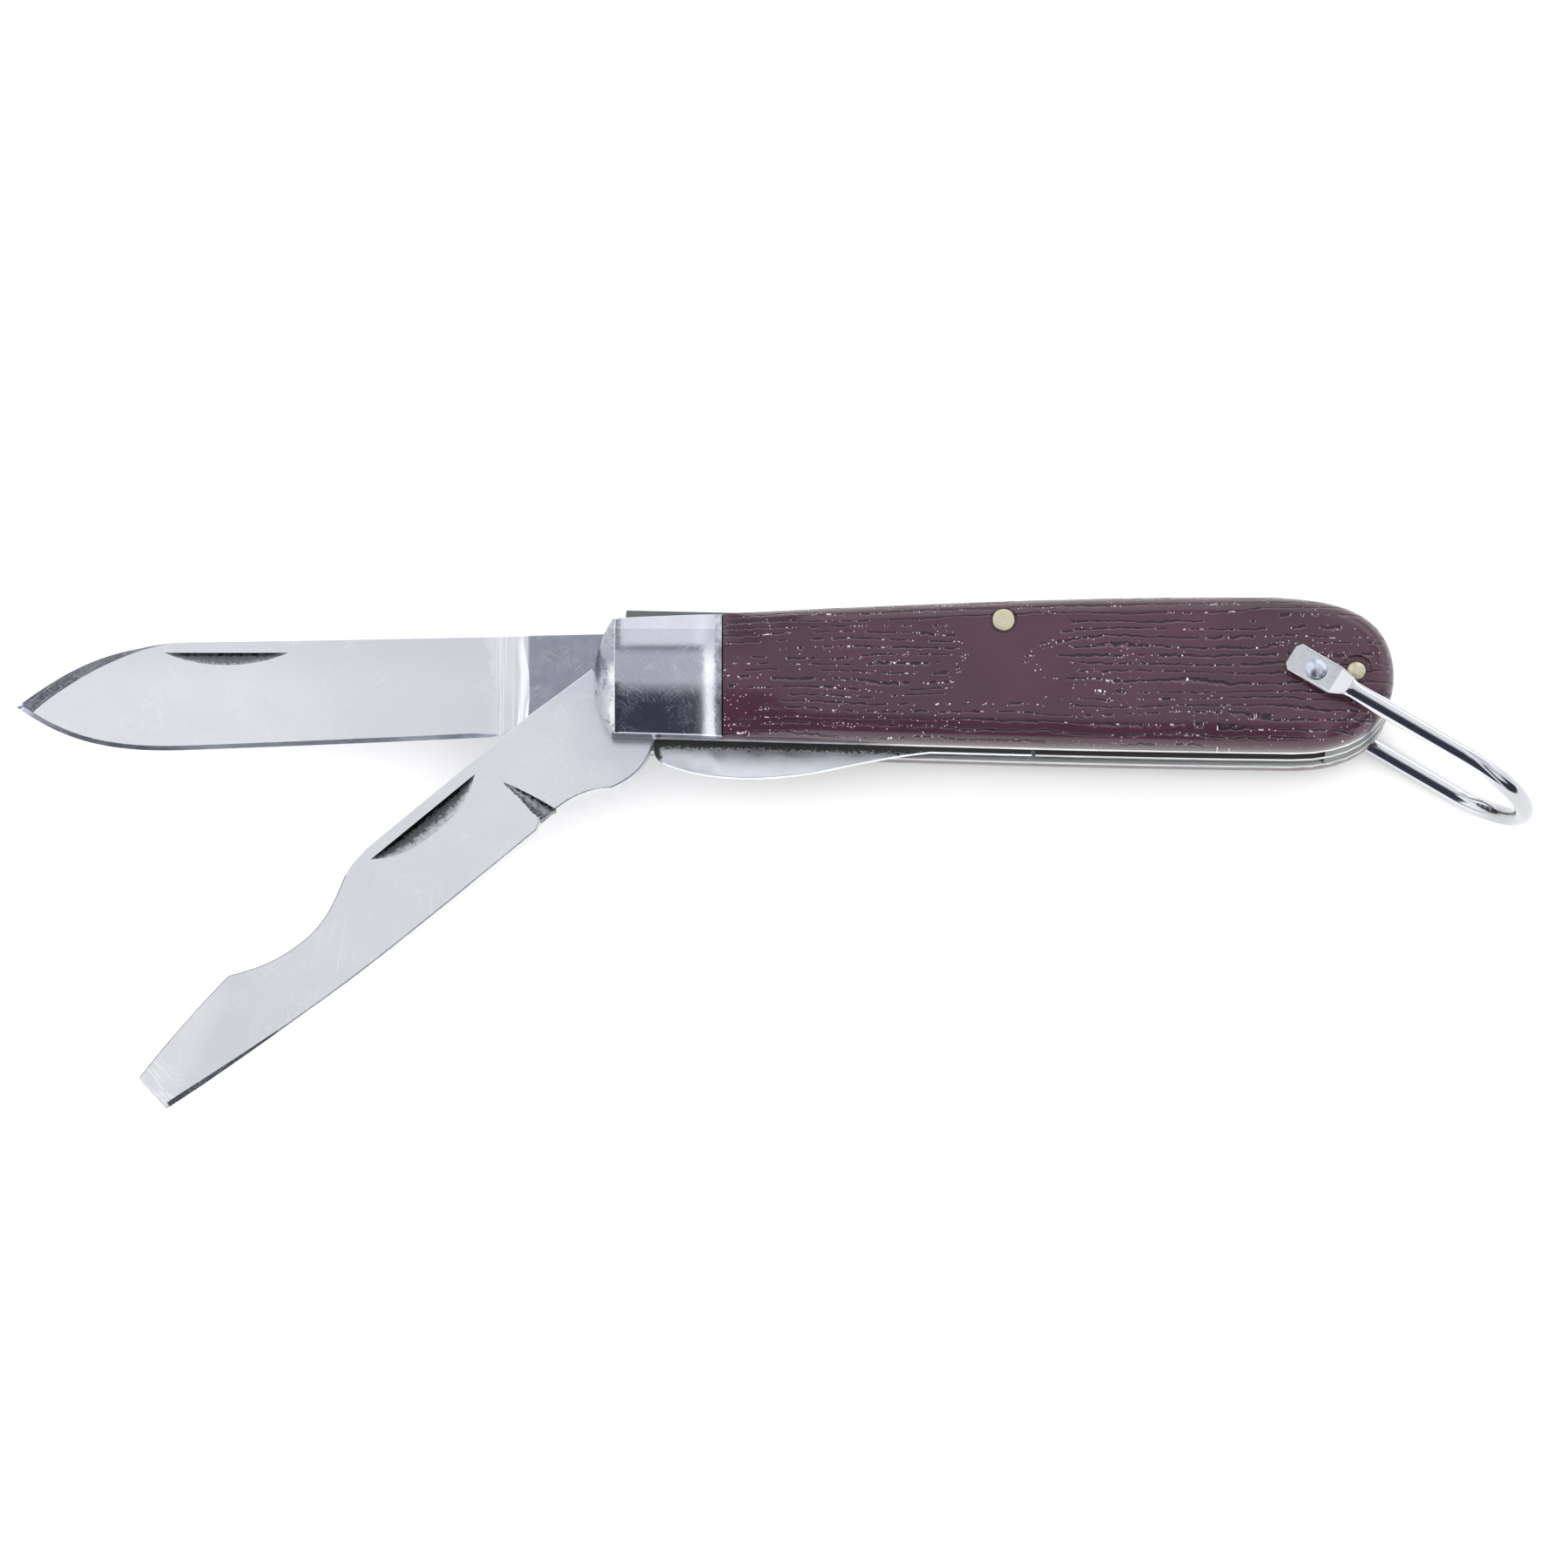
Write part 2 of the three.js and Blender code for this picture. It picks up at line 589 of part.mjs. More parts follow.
// One flattened end: a clipped tongue, and a neck that widens into the wire.
function bailEnd(side) {
  const clip = BAIL_FLAT_CLIP;
  const inner = MID_Z + BAIL_GAP;
  const outer = inner + BAIL_FLAT_THICK;
  const tongue = plate(shapeThrough([
    [BAIL_FLAT_BACK, -BAIL_FLAT_HALF_WIDTH + clip],
    [BAIL_FLAT_BACK + clip, -BAIL_FLAT_HALF_WIDTH],
    [BAIL_FLAT_FRONT, -BAIL_FLAT_HALF_WIDTH],
    [BAIL_NECK_END + 1, -BAIL_WIRE_RADIUS * 0.8],
    [BAIL_NECK_END + 1, BAIL_WIRE_RADIUS * 0.8],
    [BAIL_FLAT_FRONT, BAIL_FLAT_HALF_WIDTH],
    [BAIL_FLAT_BACK + clip, BAIL_FLAT_HALF_WIDTH],
    [BAIL_FLAT_BACK, BAIL_FLAT_HALF_WIDTH - clip],
  ]), Math.min(side * inner, side * outer), Math.max(side * inner, side * outer));
  const neck = crossbar(shapeThrough([
    [BAIL_FLAT_FRONT, side * inner],
    [BAIL_NECK_END + 0.5, side * inner],
    [BAIL_NECK_END + 0.5, side * (inner + 2 * BAIL_WIRE_RADIUS * 0.93)],
    [BAIL_FLAT_FRONT, side * outer],
  ]), -BAIL_WIRE_RADIUS * 0.7, BAIL_WIRE_RADIUS * 0.7);
  return tongue.add(neck);
}

function addBail() {
  const wire = solidOf(new THREE.ExtrudeGeometry(wireSection(), {
    steps: BAIL_WIRE_STEPS,
    bevelEnabled: false,
    extrudePath: new BailPath(),
  }));
  let bail = wire.add(bailEnd(1)).add(bailEnd(-1));
  bail = drill(bail, ORIGIN, BAIL_PIN_RADIUS);
  addPart('bail', bail, CHROME, new THREE.Vector3(BAIL_PIN.x, BAIL_PIN.y, MID_Z), BAIL_REST_ANGLE);
}

// ---------------------------------------------------------------- assembly

addScales();
addBolsters();
addLiners();
addSpring('driver', FRONT_WELL_Z, DRIVER_SPRING_LIFT);
addSpring('spear', REAR_WELL_Z, 0);
addSpearBlade();
addDriverBlade();
addPins();
addBail();

export default parts;
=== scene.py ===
import json
import math

import bmesh
import bpy
import numpy as np
from mathutils import Matrix, Vector, geometry


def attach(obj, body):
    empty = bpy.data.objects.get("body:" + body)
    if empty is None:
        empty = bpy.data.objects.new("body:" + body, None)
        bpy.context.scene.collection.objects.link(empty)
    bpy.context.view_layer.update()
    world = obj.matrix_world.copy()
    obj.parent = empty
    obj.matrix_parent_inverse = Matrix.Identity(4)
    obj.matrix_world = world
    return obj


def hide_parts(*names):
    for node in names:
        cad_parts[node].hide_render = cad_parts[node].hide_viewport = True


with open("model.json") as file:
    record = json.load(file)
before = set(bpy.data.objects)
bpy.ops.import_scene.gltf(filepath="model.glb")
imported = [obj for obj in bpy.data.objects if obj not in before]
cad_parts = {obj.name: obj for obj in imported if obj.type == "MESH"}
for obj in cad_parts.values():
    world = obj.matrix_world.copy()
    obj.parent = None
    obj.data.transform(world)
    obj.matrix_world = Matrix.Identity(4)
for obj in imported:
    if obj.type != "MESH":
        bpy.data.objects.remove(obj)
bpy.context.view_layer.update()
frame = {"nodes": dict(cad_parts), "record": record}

# Lengths in this script are millimetres in the row frame, and become metres when a mesh is made.
MM = 0.001
RECORD = frame["record"]
BODY_OF = {node: body for body, nodes in RECORD["behaviour"]["bodies"].items() for node in nodes}
JOINT_AT = {joint["name"]: [v / MM for v in joint["pos_m"]] for joint in RECORD["behaviour"]["joints"]}

HANDLE_THICK = 15.2
FRONT_SCALE_Z = 11.1
EDGE_ROUND = 3.0
RECESS_DEPTH = 0.45
CENTRE_PIN = (42.15, 7.45)
BUTT_PIN = (84.1, 1.25)

BOLSTER_END_X = 8.7
BOLSTER_FRONT_X = -6.65
BOLSTER_CREST_X = -4.1
BOLSTER_ARC = 12.6
BOLSTER_MID_Y = 1.225
CROWN_RADIUS = 10.5
CROWN_Y = 1.5
CROWN_TOP = 15.35
CROWN_REACH = 5.3

BLADE_HALF = 1.1
PIVOT_HOLE_RADIUS = 1.75
DRIVER_REST_ANGLE = math.radians(40.5)
PLUNGE_WIDTH = 1.5
GRIND_LINES_WIDTH = 4.5
# A nick is (left end, right end, level of its straight side, depth of its bow, fullness of its bow).
SPEAR_NICK = (-58.2, -43.4, 5.72, 1.5, 2.2)
DRIVER_NICK = (-38.7, -22.5, 5.7, 2.45, 2.6)
NICK_WALL = 0.15
GOUGE_TOP_Y = 2.8

WIRE_RADIUS = 1.15
WIRE_SIDES = 32
BEND_RADIUS = 8.95
BEND_START = 20.4
FLAT_HALF = 1.85
FLAT_THICK = 1.1
BAIL_GAP = 0.2
BAIL_REST_ANGLE = math.radians(-31.3)


# ---------------------------------------------------------------- outlines

class Path:
    """A line of points with even steps, made of straight and curved stretches."""

    def __init__(self, x, y, step=0.5):
        self.points = [(x, y)]
        self.step = step

    def _add(self, curve, length):
        count = max(1, math.ceil(length / self.step))
        self.points += [tuple(curve(i / count)) for i in range(1, count + 1)]
        return self

    def line(self, x, y):
        a, b = np.array(self.points[-1]), np.array((x, y))
        return self._add(lambda t: a + (b - a) * t, np.linalg.norm(b - a))

    def quad(self, cx, cy, x, y):
        a, c, b = np.array(self.points[-1]), np.array((cx, cy)), np.array((x, y))
        length = np.linalg.norm(c - a) + np.linalg.norm(b - c)
        return self._add(lambda t: a * (1 - t) ** 2 + c * 2 * t * (1 - t) + b * t * t, length)

    def bezier(self, ax, ay, bx, by, x, y):
        p, a, b, q = (np.array(v) for v in (self.points[-1], (ax, ay), (bx, by), (x, y)))
        length = np.linalg.norm(a - p) + np.linalg.norm(b - a) + np.linalg.norm(q - b)
        return self._add(
            lambda t: p * (1 - t) ** 3 + a * 3 * t * (1 - t) ** 2 + b * 3 * t * t * (1 - t) + q * t ** 3,
            length,
        )

    def arc(self, cx, cy, radius, start, end):
        def curve(t):
            turn = start + (end - start) * t
            return cx + radius * math.cos(turn), cy + radius * math.sin(turn)
        return self._add(curve, abs(end - start) * radius)

    def closed(self):
        """The outline as an array, anticlockwise, without its doubled last point."""
        found = np.array(self.points)
        if np.linalg.norm(found[0] - found[-1]) < 1e-6:
            found = found[:-1]
        x, y = found[:, 0], found[:, 1]
        area = np.sum(x * np.roll(y, -1) - y * np.roll(x, -1))
        return found if area > 0 else found[::-1]


def polyline(corners, step):
    """Straight stretches through the corners, as points with even steps."""
    path = Path(*corners[0], step)
    for corner in corners[1:]:
        path.line(*corner)
    return path.points


def circle(centre, radius, count=32):
    turn = np.arange(count) * 2 * math.pi / count
    return np.stack([centre[0] + radius * np.cos(turn), centre[1] + radius * np.sin(turn)], 1)


def inset(outline, width):
    """The outline moved inwards; width is a number or one number for each point."""
    ahead = np.roll(outline, -1, 0) - outline
    ahead /= np.linalg.norm(ahead, axis=1)[:, None]
    inward = np.stack([-ahead[:, 1], ahead[:, 0]], 1)
    both = inward + np.roll(inward, 1, 0)
    both /= np.maximum(np.linalg.norm(both, axis=1), 1e-9)[:, None]
    stretch = 1 / np.maximum(np.sum(both * inward, 1), 0.6)
    return outline + both * (stretch * width)[:, None]


def distance_to(points, line):
    """Distance from each point to an open line."""
    line = np.asarray(line, float)
    start, run = line[:-1], np.diff(line, axis=0)
    gap = points[:, None, :] - start[None]
    along = np.clip(np.sum(gap * run, 2) / np.sum(run * run, 1), 0, 1)
    return np.min(np.linalg.norm(gap - along[..., None] * run, axis=2), axis=1)


def inside(points, outline):
    """Which points lie inside a closed outline."""
    x, y = points[:, 0], points[:, 1]
    found = np.zeros(len(points), bool)
    for (ax, ay), (bx, by) in zip(outline, np.roll(outline, -1, 0)):
        if ay != by:
            found ^= ((ay > y) != (by > y)) & (x < (bx - ax) * (y - ay) / (by - ay) + ax)
    return found


def smoothstep(low, high, value):
    t = np.clip((value - low) / (high - low), 0, 1)
    return t * t * (3 - 2 * t)


# ---------------------------------------------------------------- meshes

def add_piece(name, node, mesh, sharp, place=None):
    """Puts a finished mesh in the scene for a CAD node; edges over sharp degrees stay sharp."""
    mesh.shade_smooth()
    mesh.set_sharp_from_angle(angle=math.radians(sharp))
    piece = bpy.data.objects.new(name, mesh)
    bpy.context.scene.collection.objects.link(piece)
    if place is not None:
        piece.matrix_world = place
    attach(piece, BODY_OF[node])
    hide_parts(node)
    return piece


def make_piece(name, node, points, faces, materials, sharp, kinds=None, place=None):
    """A piece from points in millimetres; kinds gives each face's material."""
    mesh = bpy.data.meshes.new(name)
    mesh.from_pydata([tuple(p) for p in np.asarray(points) * MM], [], [tuple(map(int, f)) for f in faces])
    for material in materials:
        mesh.materials.append(material)
    if kinds is not None:
        mesh.polygons.foreach_set("material_index", np.asarray(kinds, np.int32))
    mesh.validate()
    work = bmesh.new()
    work.from_mesh(mesh)
    bmesh.ops.remove_doubles(work, verts=work.verts, dist=1e-7)
    bmesh.ops.recalc_face_normals(work, faces=work.faces)
    work.to_mesh(mesh)
    work.free()
    return add_piece(name, node, mesh, sharp, place)


def band(inner, outer):
    """Quads between two rings of point numbers."""
    return [(inner[i], inner[i - 1], outer[i - 1], outer[i]) for i in range(len(inner))]


def fill_cells(area, pitch):
    """Points of a triangular grid over an area's box."""
    low, high = area.min(0), area.max(0)
    rows = np.arange(low[1], high[1], pitch * 0.866)
    return np.array([
        (x + (k % 2) * pitch / 2, y) for k, y in enumerate(rows) for x in np.arange(low[0], high[0], pitch)
    ])


def relief_net(outline, lines, spacing, fine=(), holes=()):
    """Triangles that fill an outline, with given lines kept as edges. fine lists (outline, spacing)."""
    points = [tuple(p) for p in outline]
    edges = []
    for line, is_loop in lines:
        first = len(points)
        points += [tuple(p) for p in line]
        edges += [(first + i, first + i + 1) for i in range(len(line) - 1)]
        if is_loop:
            edges.append((len(points) - 1, first))
    placed = np.array(points)
    for area, pitch in [(None, spacing), *fine]:
        cells = fill_cells(placed if area is None else area, pitch)
        keep = inside(cells, outline)
        if area is None:
            for other, _ in fine:
                keep &= ~inside(cells, other)
        else:
            keep &= inside(cells, area)
        cells = cells[keep]
        gap = np.full(len(cells), 1e9)
        for i in range(0, len(placed), 400):
            apart = np.linalg.norm(cells[:, None] - placed[None, i:i + 400], axis=2)
            gap = np.minimum(gap, apart.min(1))
        points += [tuple(p) for p in cells[gap > pitch * 0.45]]
    ring = list(range(len(outline)))
    made = geometry.delaunay_2d_cdt([Vector(p) for p in points], edges, [ring], 1, 1e-6)
    flat = np.array([tuple(v) for v in made[0]])
    triangles = np.array([list(f) for f in made[2]])
    order = {source: k for k, sources in enumerate(made[3]) for source in sources}
    ring = [order[i] for i in ring]
    middles = flat[triangles].mean(1)
    for centre, radius in holes:
        outside = np.linalg.norm(middles - np.array(centre), axis=1) > radius
        triangles, middles = triangles[outside], middles[outside]
    a, b, c = (flat[triangles[:, k]] for k in range(3))
    side = np.cross(b - a, c - a)
    triangles[side < 0] = triangles[side < 0][:, ::-1]
    return flat, triangles, ring


def border_edges(triangles):
    """Border edges of a triangle list, as (start, end) pairs that keep the triangles on their left."""
    seen = {(a, b) for t in triangles for a, b in ((t[0], t[1]), (t[1], t[2]), (t[2], t[0]))}
    return [(a, b) for a, b in seen if (b, a) not in seen]


def blade_mesh(outline, edge_width, edge_half, height, lines, fine):
    """Points and faces of a blade that is ground alike on both faces."""
    hole = PIVOT_HOLE_RADIUS
    lines = [*lines, (circle((0, 0), hole), True)]
    flat, triangles, ring = relief_net(inset(outline, edge_width), lines, 0.9, fine, [((0, 0), hole)])
    level = height(flat)
    border = np.minimum(edge_half, height(outline))
    points = np.vstack([
        np.column_stack([flat, level]),
        np.column_stack([flat, -level]),
        np.column_stack([outline, border]),
        np.column_stack([outline, -border]),
    ])
    count, n = len(flat), len(outline)
    rear_ring = [i + count for i in ring]
    border_front = range(2 * count, 2 * count + n)
    border_rear = range(2 * count + n, 2 * count + 2 * n)
    faces = [tuple(t) for t in triangles] + [tuple(t[::-1] + count) for t in triangles]
    faces += band(ring, border_front) + band(border_front, border_rear) + band(border_rear, rear_ring)
    near = {k for k in range(count) if np.hypot(*flat[k]) < hole * 1.05}
    faces += [
        (b, a, a + count, b + count) for a, b in border_edges([tuple(t) for t in triangles])
        if a in near and b in near
    ]
    return points, faces


def kinds_of(points, faces, areas, on_edge):
    """Material of each face: the last area that holds its middle, counted from 1, and then the edge."""
    middles = np.array([points[list(f)].mean(0) for f in faces])
    kinds = np.zeros(len(faces), int)
    for number, area in enumerate(areas, 1):
        kinds[inside(middles[:, :2], area)] = number
    kinds[on_edge(middles)] = len(areas) + 1
    return kinds


def refined(node, name, material, width):
    """A copy of a CAD node with its long flats joined and its corners rounded off."""
    work = bmesh.new()
    work.from_mesh(frame["nodes"][node].data)
    bmesh.ops.remove_doubles(work, verts=work.verts, dist=1e-7)
    bmesh.ops.dissolve_limit(
        work, angle_limit=math.radians(0.5), verts=work.verts, edges=work.edges,
        use_dissolve_boundaries=False,
    )
    corners = [e for e in work.edges if len(e.link_faces) == 2 and e.calc_face_angle() > math.radians(30)]
    bmesh.ops.bevel(
        work, geom=corners, offset=width * MM, offset_type="OFFSET", segments=2, profile=0.5,
        affect="EDGES", clamp_overlap=True,
    )
    bmesh.ops.triangulate(work, faces=[f for f in work.faces if len(f.verts) > 4])
    mesh = bpy.data.meshes.new(name)
    work.to_mesh(mesh)
    work.free()
    mesh.materials.clear()
    mesh.materials.append(material)
    return add_piece(name, node, mesh, 24)


def lathe(name, node, profile, centre, material, segments=48):
    """A turned piece about a line along Z; the profile is (radius, level) pairs from end to end."""
    points, faces, rows = [], [], []
    for radius, level in profile:
        ring = circle(centre, radius, segments) if radius > 0 else [centre]
        rows.append(range(len(points), len(points) + len(ring)))
        points += [(*p, level) for p in ring]
    for low, high in zip(rows, rows[1:]):
        if len(low) == len(high):
            faces += band(low, high)
        else:
            pole, ring = sorted((low, high), key=len)
            faces += [(pole[0], ring[i], ring[i - 1]) for i in range(segments)]
    return make_piece(name, node, points, faces, [material], 30)


# ---------------------------------------------------------------- material nodes

class Value:
    """A number from a node. Arithmetic on it adds math nodes."""

    def __init__(self, nodes, socket):
        self.nodes = nodes
        self.socket = socket

    def __add__(self, other):
        return self.nodes.math("ADD", self, other)

    def __sub__(self, other):
        return self.nodes.math("SUBTRACT", self, other)

    def __rsub__(self, other):
        return self.nodes.math("SUBTRACT", other, self)

    def __mul__(self, other):
        return self.nodes.math("MULTIPLY", self, other)

    def __truediv__(self, other):
        return self.nodes.math("DIVIDE", self, other)

    def __pow__(self, other):
        return self.nodes.math("POWER", self, other)

    def __abs__(self):
        return self.nodes.math("ABSOLUTE", self)

    def at_least(self, other):
        return self.nodes.math("MAXIMUM", self, other)

    def at_most(self, other):
        return self.nodes.math("MINIMUM", self, other)

    def below(self, other):
        return self.nodes.math("LESS_THAN", self, other)

    def spread(self, amount):
        """A noise value turned into a shift, of up to half of amount either way."""
        return (self - 0.5) * amount

    def ramp(self, low, high, out_low=0.0, out_high=1.0, kind="LINEAR"):
        """Goes from out_low to out_high as the value goes from low to high."""
        inputs = {"Value": self, "From Min": low, "From Max": high, "To Min": out_low, "To Max": out_high}
        made = self.nodes.node("ShaderNodeMapRange", inputs, interpolation_type=kind, clamp=True)
        return Value(self.nodes, made.outputs["Result"])

    def step(self, low, high, out_low=0.0, out_high=1.0):
        """As ramp, with soft ends."""
        return self.ramp(low, high, out_low, out_high, "SMOOTHSTEP")

    def window(self, low, high, soft):
        """1 between low and high, falling to 0 over a soft border."""
        return self.ramp(low, low + soft) * self.ramp(high - soft, high, 1.0, 0.0)


class Nodes:
    """Adds nodes to a node tree."""

    def __init__(self, tree):
        self.tree = tree

    def node(self, kind, inputs, **settings):
        made = self.tree.nodes.new(kind)
        for key, value in settings.items():
            setattr(made, key, value)
        for key, value in inputs.items():
            if isinstance(value, Value):
                value = value.socket
            if isinstance(value, bpy.types.NodeSocket):
                self.tree.links.new(value, made.inputs[key])
            elif value is not None:
                made.inputs[key].default_value = value
        return made

    def math(self, operation, a, b=None):
        return Value(self, self.node("ShaderNodeMath", {0: a, 1: b}, operation=operation).outputs[0])

    def split(self, vector):
        return [Value(self, part) for part in self.node("ShaderNodeSeparateXYZ", {0: vector}).outputs]

    def blend(self, amount, a, b):
        """Colour a going over to b; a plain colour is given as red, green and blue."""
        a, b = ((*colour, 1) if isinstance(colour, tuple) else colour for colour in (a, b))
        return self.node("ShaderNodeMix", {0: amount, 6: a, 7: b}, data_type="RGBA").outputs[2]

    def colours(self, value, stops):
        """A colour that follows a value by stops of (value, colour)."""
        made = self.node("ShaderNodeValToRGB", {0: value})
        elements = made.color_ramp.elements
        elements.remove(elements[-1])
        for k, (at, colour) in enumerate(stops):
            element = elements[0] if k == 0 else elements.new(at)
            element.position = at
            element.color = (*colour, 1)
        return made.outputs[0]


class Look(Nodes):
    """A material whose coordinates are the piece's own millimetres."""

    def __init__(self, name, metallic, roughness, **sockets):
        self.material = bpy.data.materials.new(name)
        self.material.use_nodes = True
        super().__init__(self.material.node_tree)
        self.shader = self.tree.nodes["Principled BSDF"]
        for key, value in dict(sockets, Metallic=metallic, Roughness=roughness).items():
            self.shader.inputs[key.replace("_", " ")].default_value = value
        coordinates = self.node("ShaderNodeTexCoord", {}).outputs["Object"]
        self.place = self.stretch((1 / MM, 1 / MM, 1 / MM), vector=coordinates)
        self.x, self.y, _ = self.split(self.place)

    def stretch(self, scale, turn=0.0, move=(0, 0, 0), vector=None):
        """The piece's own coordinates, or a vector, scaled and then turned and moved."""
        inputs = {"Vector": vector or self.place, "Scale": scale, "Rotation": (0, 0, turn), "Location": move}
        return self.node("ShaderNodeMapping", inputs).outputs[0]

    def noise(self, scale, detail=2.0, roughness=0.5, distortion=0.0, vector=None):
        inputs = {"Vector": vector or self.place, "Scale": scale, "Detail": detail, "Roughness": roughness,
                  "Distortion": distortion}
        return Value(self, self.node("ShaderNodeTexNoise", inputs).outputs["Fac"])

    def cells(self, scale):
        """The distance to the nearest of many scattered points, and a random number for each of them."""
        found = self.node("ShaderNodeTexVoronoi", {"Vector": self.place, "Scale": scale}).outputs
        return Value(self, found["Distance"]), self.split(found["Color"])[0]

    def facing(self):
        """1 on a face that looks straight up or down, and 0 on an upright one."""
        return abs(self.split(self.node("ShaderNodeNewGeometry", {}).outputs["Normal"])[2])

    def bump(self, height):
        """The surface's normal with a height in millimetres."""
        return self.node("ShaderNodeBump", {"Height": height, "Distance": MM, "Strength": 1.0}).outputs[0]

    def use(self, **links):
        for key, value in links.items():
            socket = value.socket if isinstance(value, Value) else value
            self.tree.links.new(socket, self.shader.inputs[key.replace("_", " ")])
        return self.material


def paint(red, green, blue):
    """A display colour, 0 to 255, as scene-linear."""
    def linear(v):
        v /= 255
        return v / 12.92 if v <= 0.04045 else ((v + 0.055) / 1.055) ** 2.4
    return linear(red), linear(green), linear(blue)


# ---------------------------------------------------------------- metals

def scratches(look, seed, density):
    """Sparse fine scratches in three directions, from 0 to 1."""
    total = None
    for k, turn in enumerate((0.5, 1.15, -0.7)):
        turned = look.stretch((1.0, 1.0, 1.0), turn)
        lines = look.stretch((0.09, 5.0, 1.0), 0.0, (seed + 3.7 * k, seed * 1.9, seed), turned)
        thin = abs(look.noise(1.0, 1.0, 0.4, 0.1, lines) - 0.5).step(0.0, 0.012, 1.0, 0.0)
        mark = thin * look.noise(0.13 + 0.03 * k).step(1.0 - density, 1.06 - density)
        total = mark if total is None else total.at_least(mark)
    return total


def metal(name, colour, dark, roughness, scratch=0.5, grain=(0.25, 5.0, 1.0), grain_bump=0.0015, seed=1.0,
          speck_share=0.06, tone=None, density=0.45, speck_colour=(0.3, 0.3, 0.33)):
    """Used metal: a cloudy colour, a fine grain, scratches and small specks. tone may tint its colour."""
    look = Look(name, 1.0, roughness)
    cloud = look.noise(0.09, 4.0, 0.55, 0.6)
    fine = look.noise(1.0, 3.0, 0.6, 0.0, look.stretch(grain, 0.0, (seed, seed, 0)))
    marks = scratches(look, seed, density)
    distance, chance = look.cells(2.6)
    specks = distance.step(0.11, 0.22, 1.0, 0.0) * chance.below(speck_share)
    base = look.blend(cloud.step(0.3, 0.7), dark, colour)
    if tone is not None:
        base = tone(look, base)
    base = look.blend(marks * 0.5, base, (0.93, 0.93, 0.95))
    base = look.blend(specks * 0.4, base, speck_colour)
    rough = cloud.step(0.25, 0.75, roughness * 0.92, roughness * 1.1)
    rough = rough + marks * 0.15 + fine * (roughness * 0.25)
    height = fine * grain_bump - marks * (0.004 * scratch) - specks * 0.004
    return look.use(Base_Color=base, Roughness=rough, Normal=look.bump(height))


def spear_tone(look, base):
    """Greyer toward the tang, darker toward the spine as painted shade, and a bluish unpolished tang behind
    the plunge.
    """
    base = look.blend(look.x.step(-52.0, -20.0, 0.0, 0.4), base, (0.5, 0.52, 0.56))
    # Painted shade: the polished face is darkened toward the spine.
    base = look.blend(look.y.step(1.0, 7.5, 0.0, 0.35), base, (0.6, 0.61, 0.65))
    worn = look.noise(0.6, 3.0, 0.6).step(0.3, 0.7)
    tang = look.blend(worn, (0.26, 0.275, 0.33), (0.31, 0.325, 0.38))
    return look.blend(look.x.step(-14.8, -14.4), base, tang)


def plunge_tone(look, base):
    """Bright upright grinding lines in front of the plunge."""
    lines = look.noise(1.0, 2.0, 0.6, 0.0, look.stretch((3.2, 0.05, 0.0))).step(0.5, 0.62)
    return look.blend(lines * look.x.step(-19.4, -17.5) * 0.6, base, (0.98, 0.98, 1.0))


def driver_tone(look, base):
    """Painted shade toward the pivot and bolster, a painted highlight on the facet above the ridge at the
    tip, and scuffs across the tip.
    """
    # Painted shade: the face darkens toward the pivot and the bolster, with a ragged border.
    near = look.x + look.noise(0.25, 3.0, 0.6).spread(9.0)
    base = look.blend(0.42, base, (0.5, 0.52, 0.54))
    base = look.blend(near.step(-16.0, 0.0, 0.0, 0.75), base, (0.5, 0.51, 0.6))
    # Painted highlight: the facet above the tip's ridge is lightened.
    ridge = look.y - (look.x + 61.0) * 0.39
    upper = ridge.step(3.6, 4.2) * look.x.step(-62.5, -60.0, 1.0, 0.0)
    base = look.blend(upper * 0.14, base, (0.84, 0.83, 0.86))
    scuffs = look.noise(1.0, 3.0, 0.65, 0.0, look.stretch((2.6, 0.3, 0.0), 0.2)).step(0.46, 0.6)
    return look.blend(scuffs * look.x.step(-75.5, -71.5, 1.0, 0.0) * 0.75, base, (0.95, 0.94, 0.97))


def bolster_tone(look, base):
    """Copper along the front rim, a painted highlight on the top and on a strip at the right end, painted
    reflection on the front bevel, and blotches on the bevel and end.
    """
    centre = (BOLSTER_FRONT_X + BOLSTER_ARC, BOLSTER_MID_Y, 0.0)
    flat_place = look.stretch((1.0, 1.0, 0.0))
    out = look.node("ShaderNodeVectorMath", {0: flat_place, 1: centre}, operation="DISTANCE").outputs["Value"]
    rim = Value(look, out).step(12.25, 12.5) * look.noise(0.5).step(0.42, 0.6)
    base = look.blend(rim * 0.55, base, (0.5, 0.3, 0.22))
    # Painted highlight on the top of the arch.
    base = look.blend(look.y.step(6.5, 6.9, 0.0, 0.9), base, (0.485, 0.5, 0.56))
    blot = look.noise(1.0, 4.0, 0.7, 0.0, look.stretch((1.6, 0.9, 0.2)))
    front = look.x.step(-4.3, -4.15, 1.0, 0.0)
    # Painted reflection: the front bevel is darker on its upper half and lighter on its lower half.
    base = look.blend(front * (look.y + blot * 3.0).step(1.5, 4.0) * 0.7, base, (0.19, 0.195, 0.23))
    base = look.blend(front * look.y.step(0.5, 3.0, 1.0, 0.0) * 0.75, base, (0.72, 0.73, 0.76))
    base = look.blend(front * blot.step(0.52, 0.66) * 0.8, base, (0.1, 0.1, 0.13))
    # Painted highlight: a bright upright strip near the right end.
    painted_highlight_strip = look.x + blot.spread(1.2)
    painted_highlight_strip = painted_highlight_strip.step(6.0, 6.9) * painted_highlight_strip.step(7.5, 8.0, 1.0, 0.0) * look.y.step(1.5, 5.5, 0.85, 0.0)
    base = look.blend(painted_highlight_strip, base, (0.85, 0.86, 0.9))
    return look.blend(look.x.step(7.6, 8.0) * blot.step(0.42, 0.6) * 0.6, base, (0.16, 0.165, 0.2))


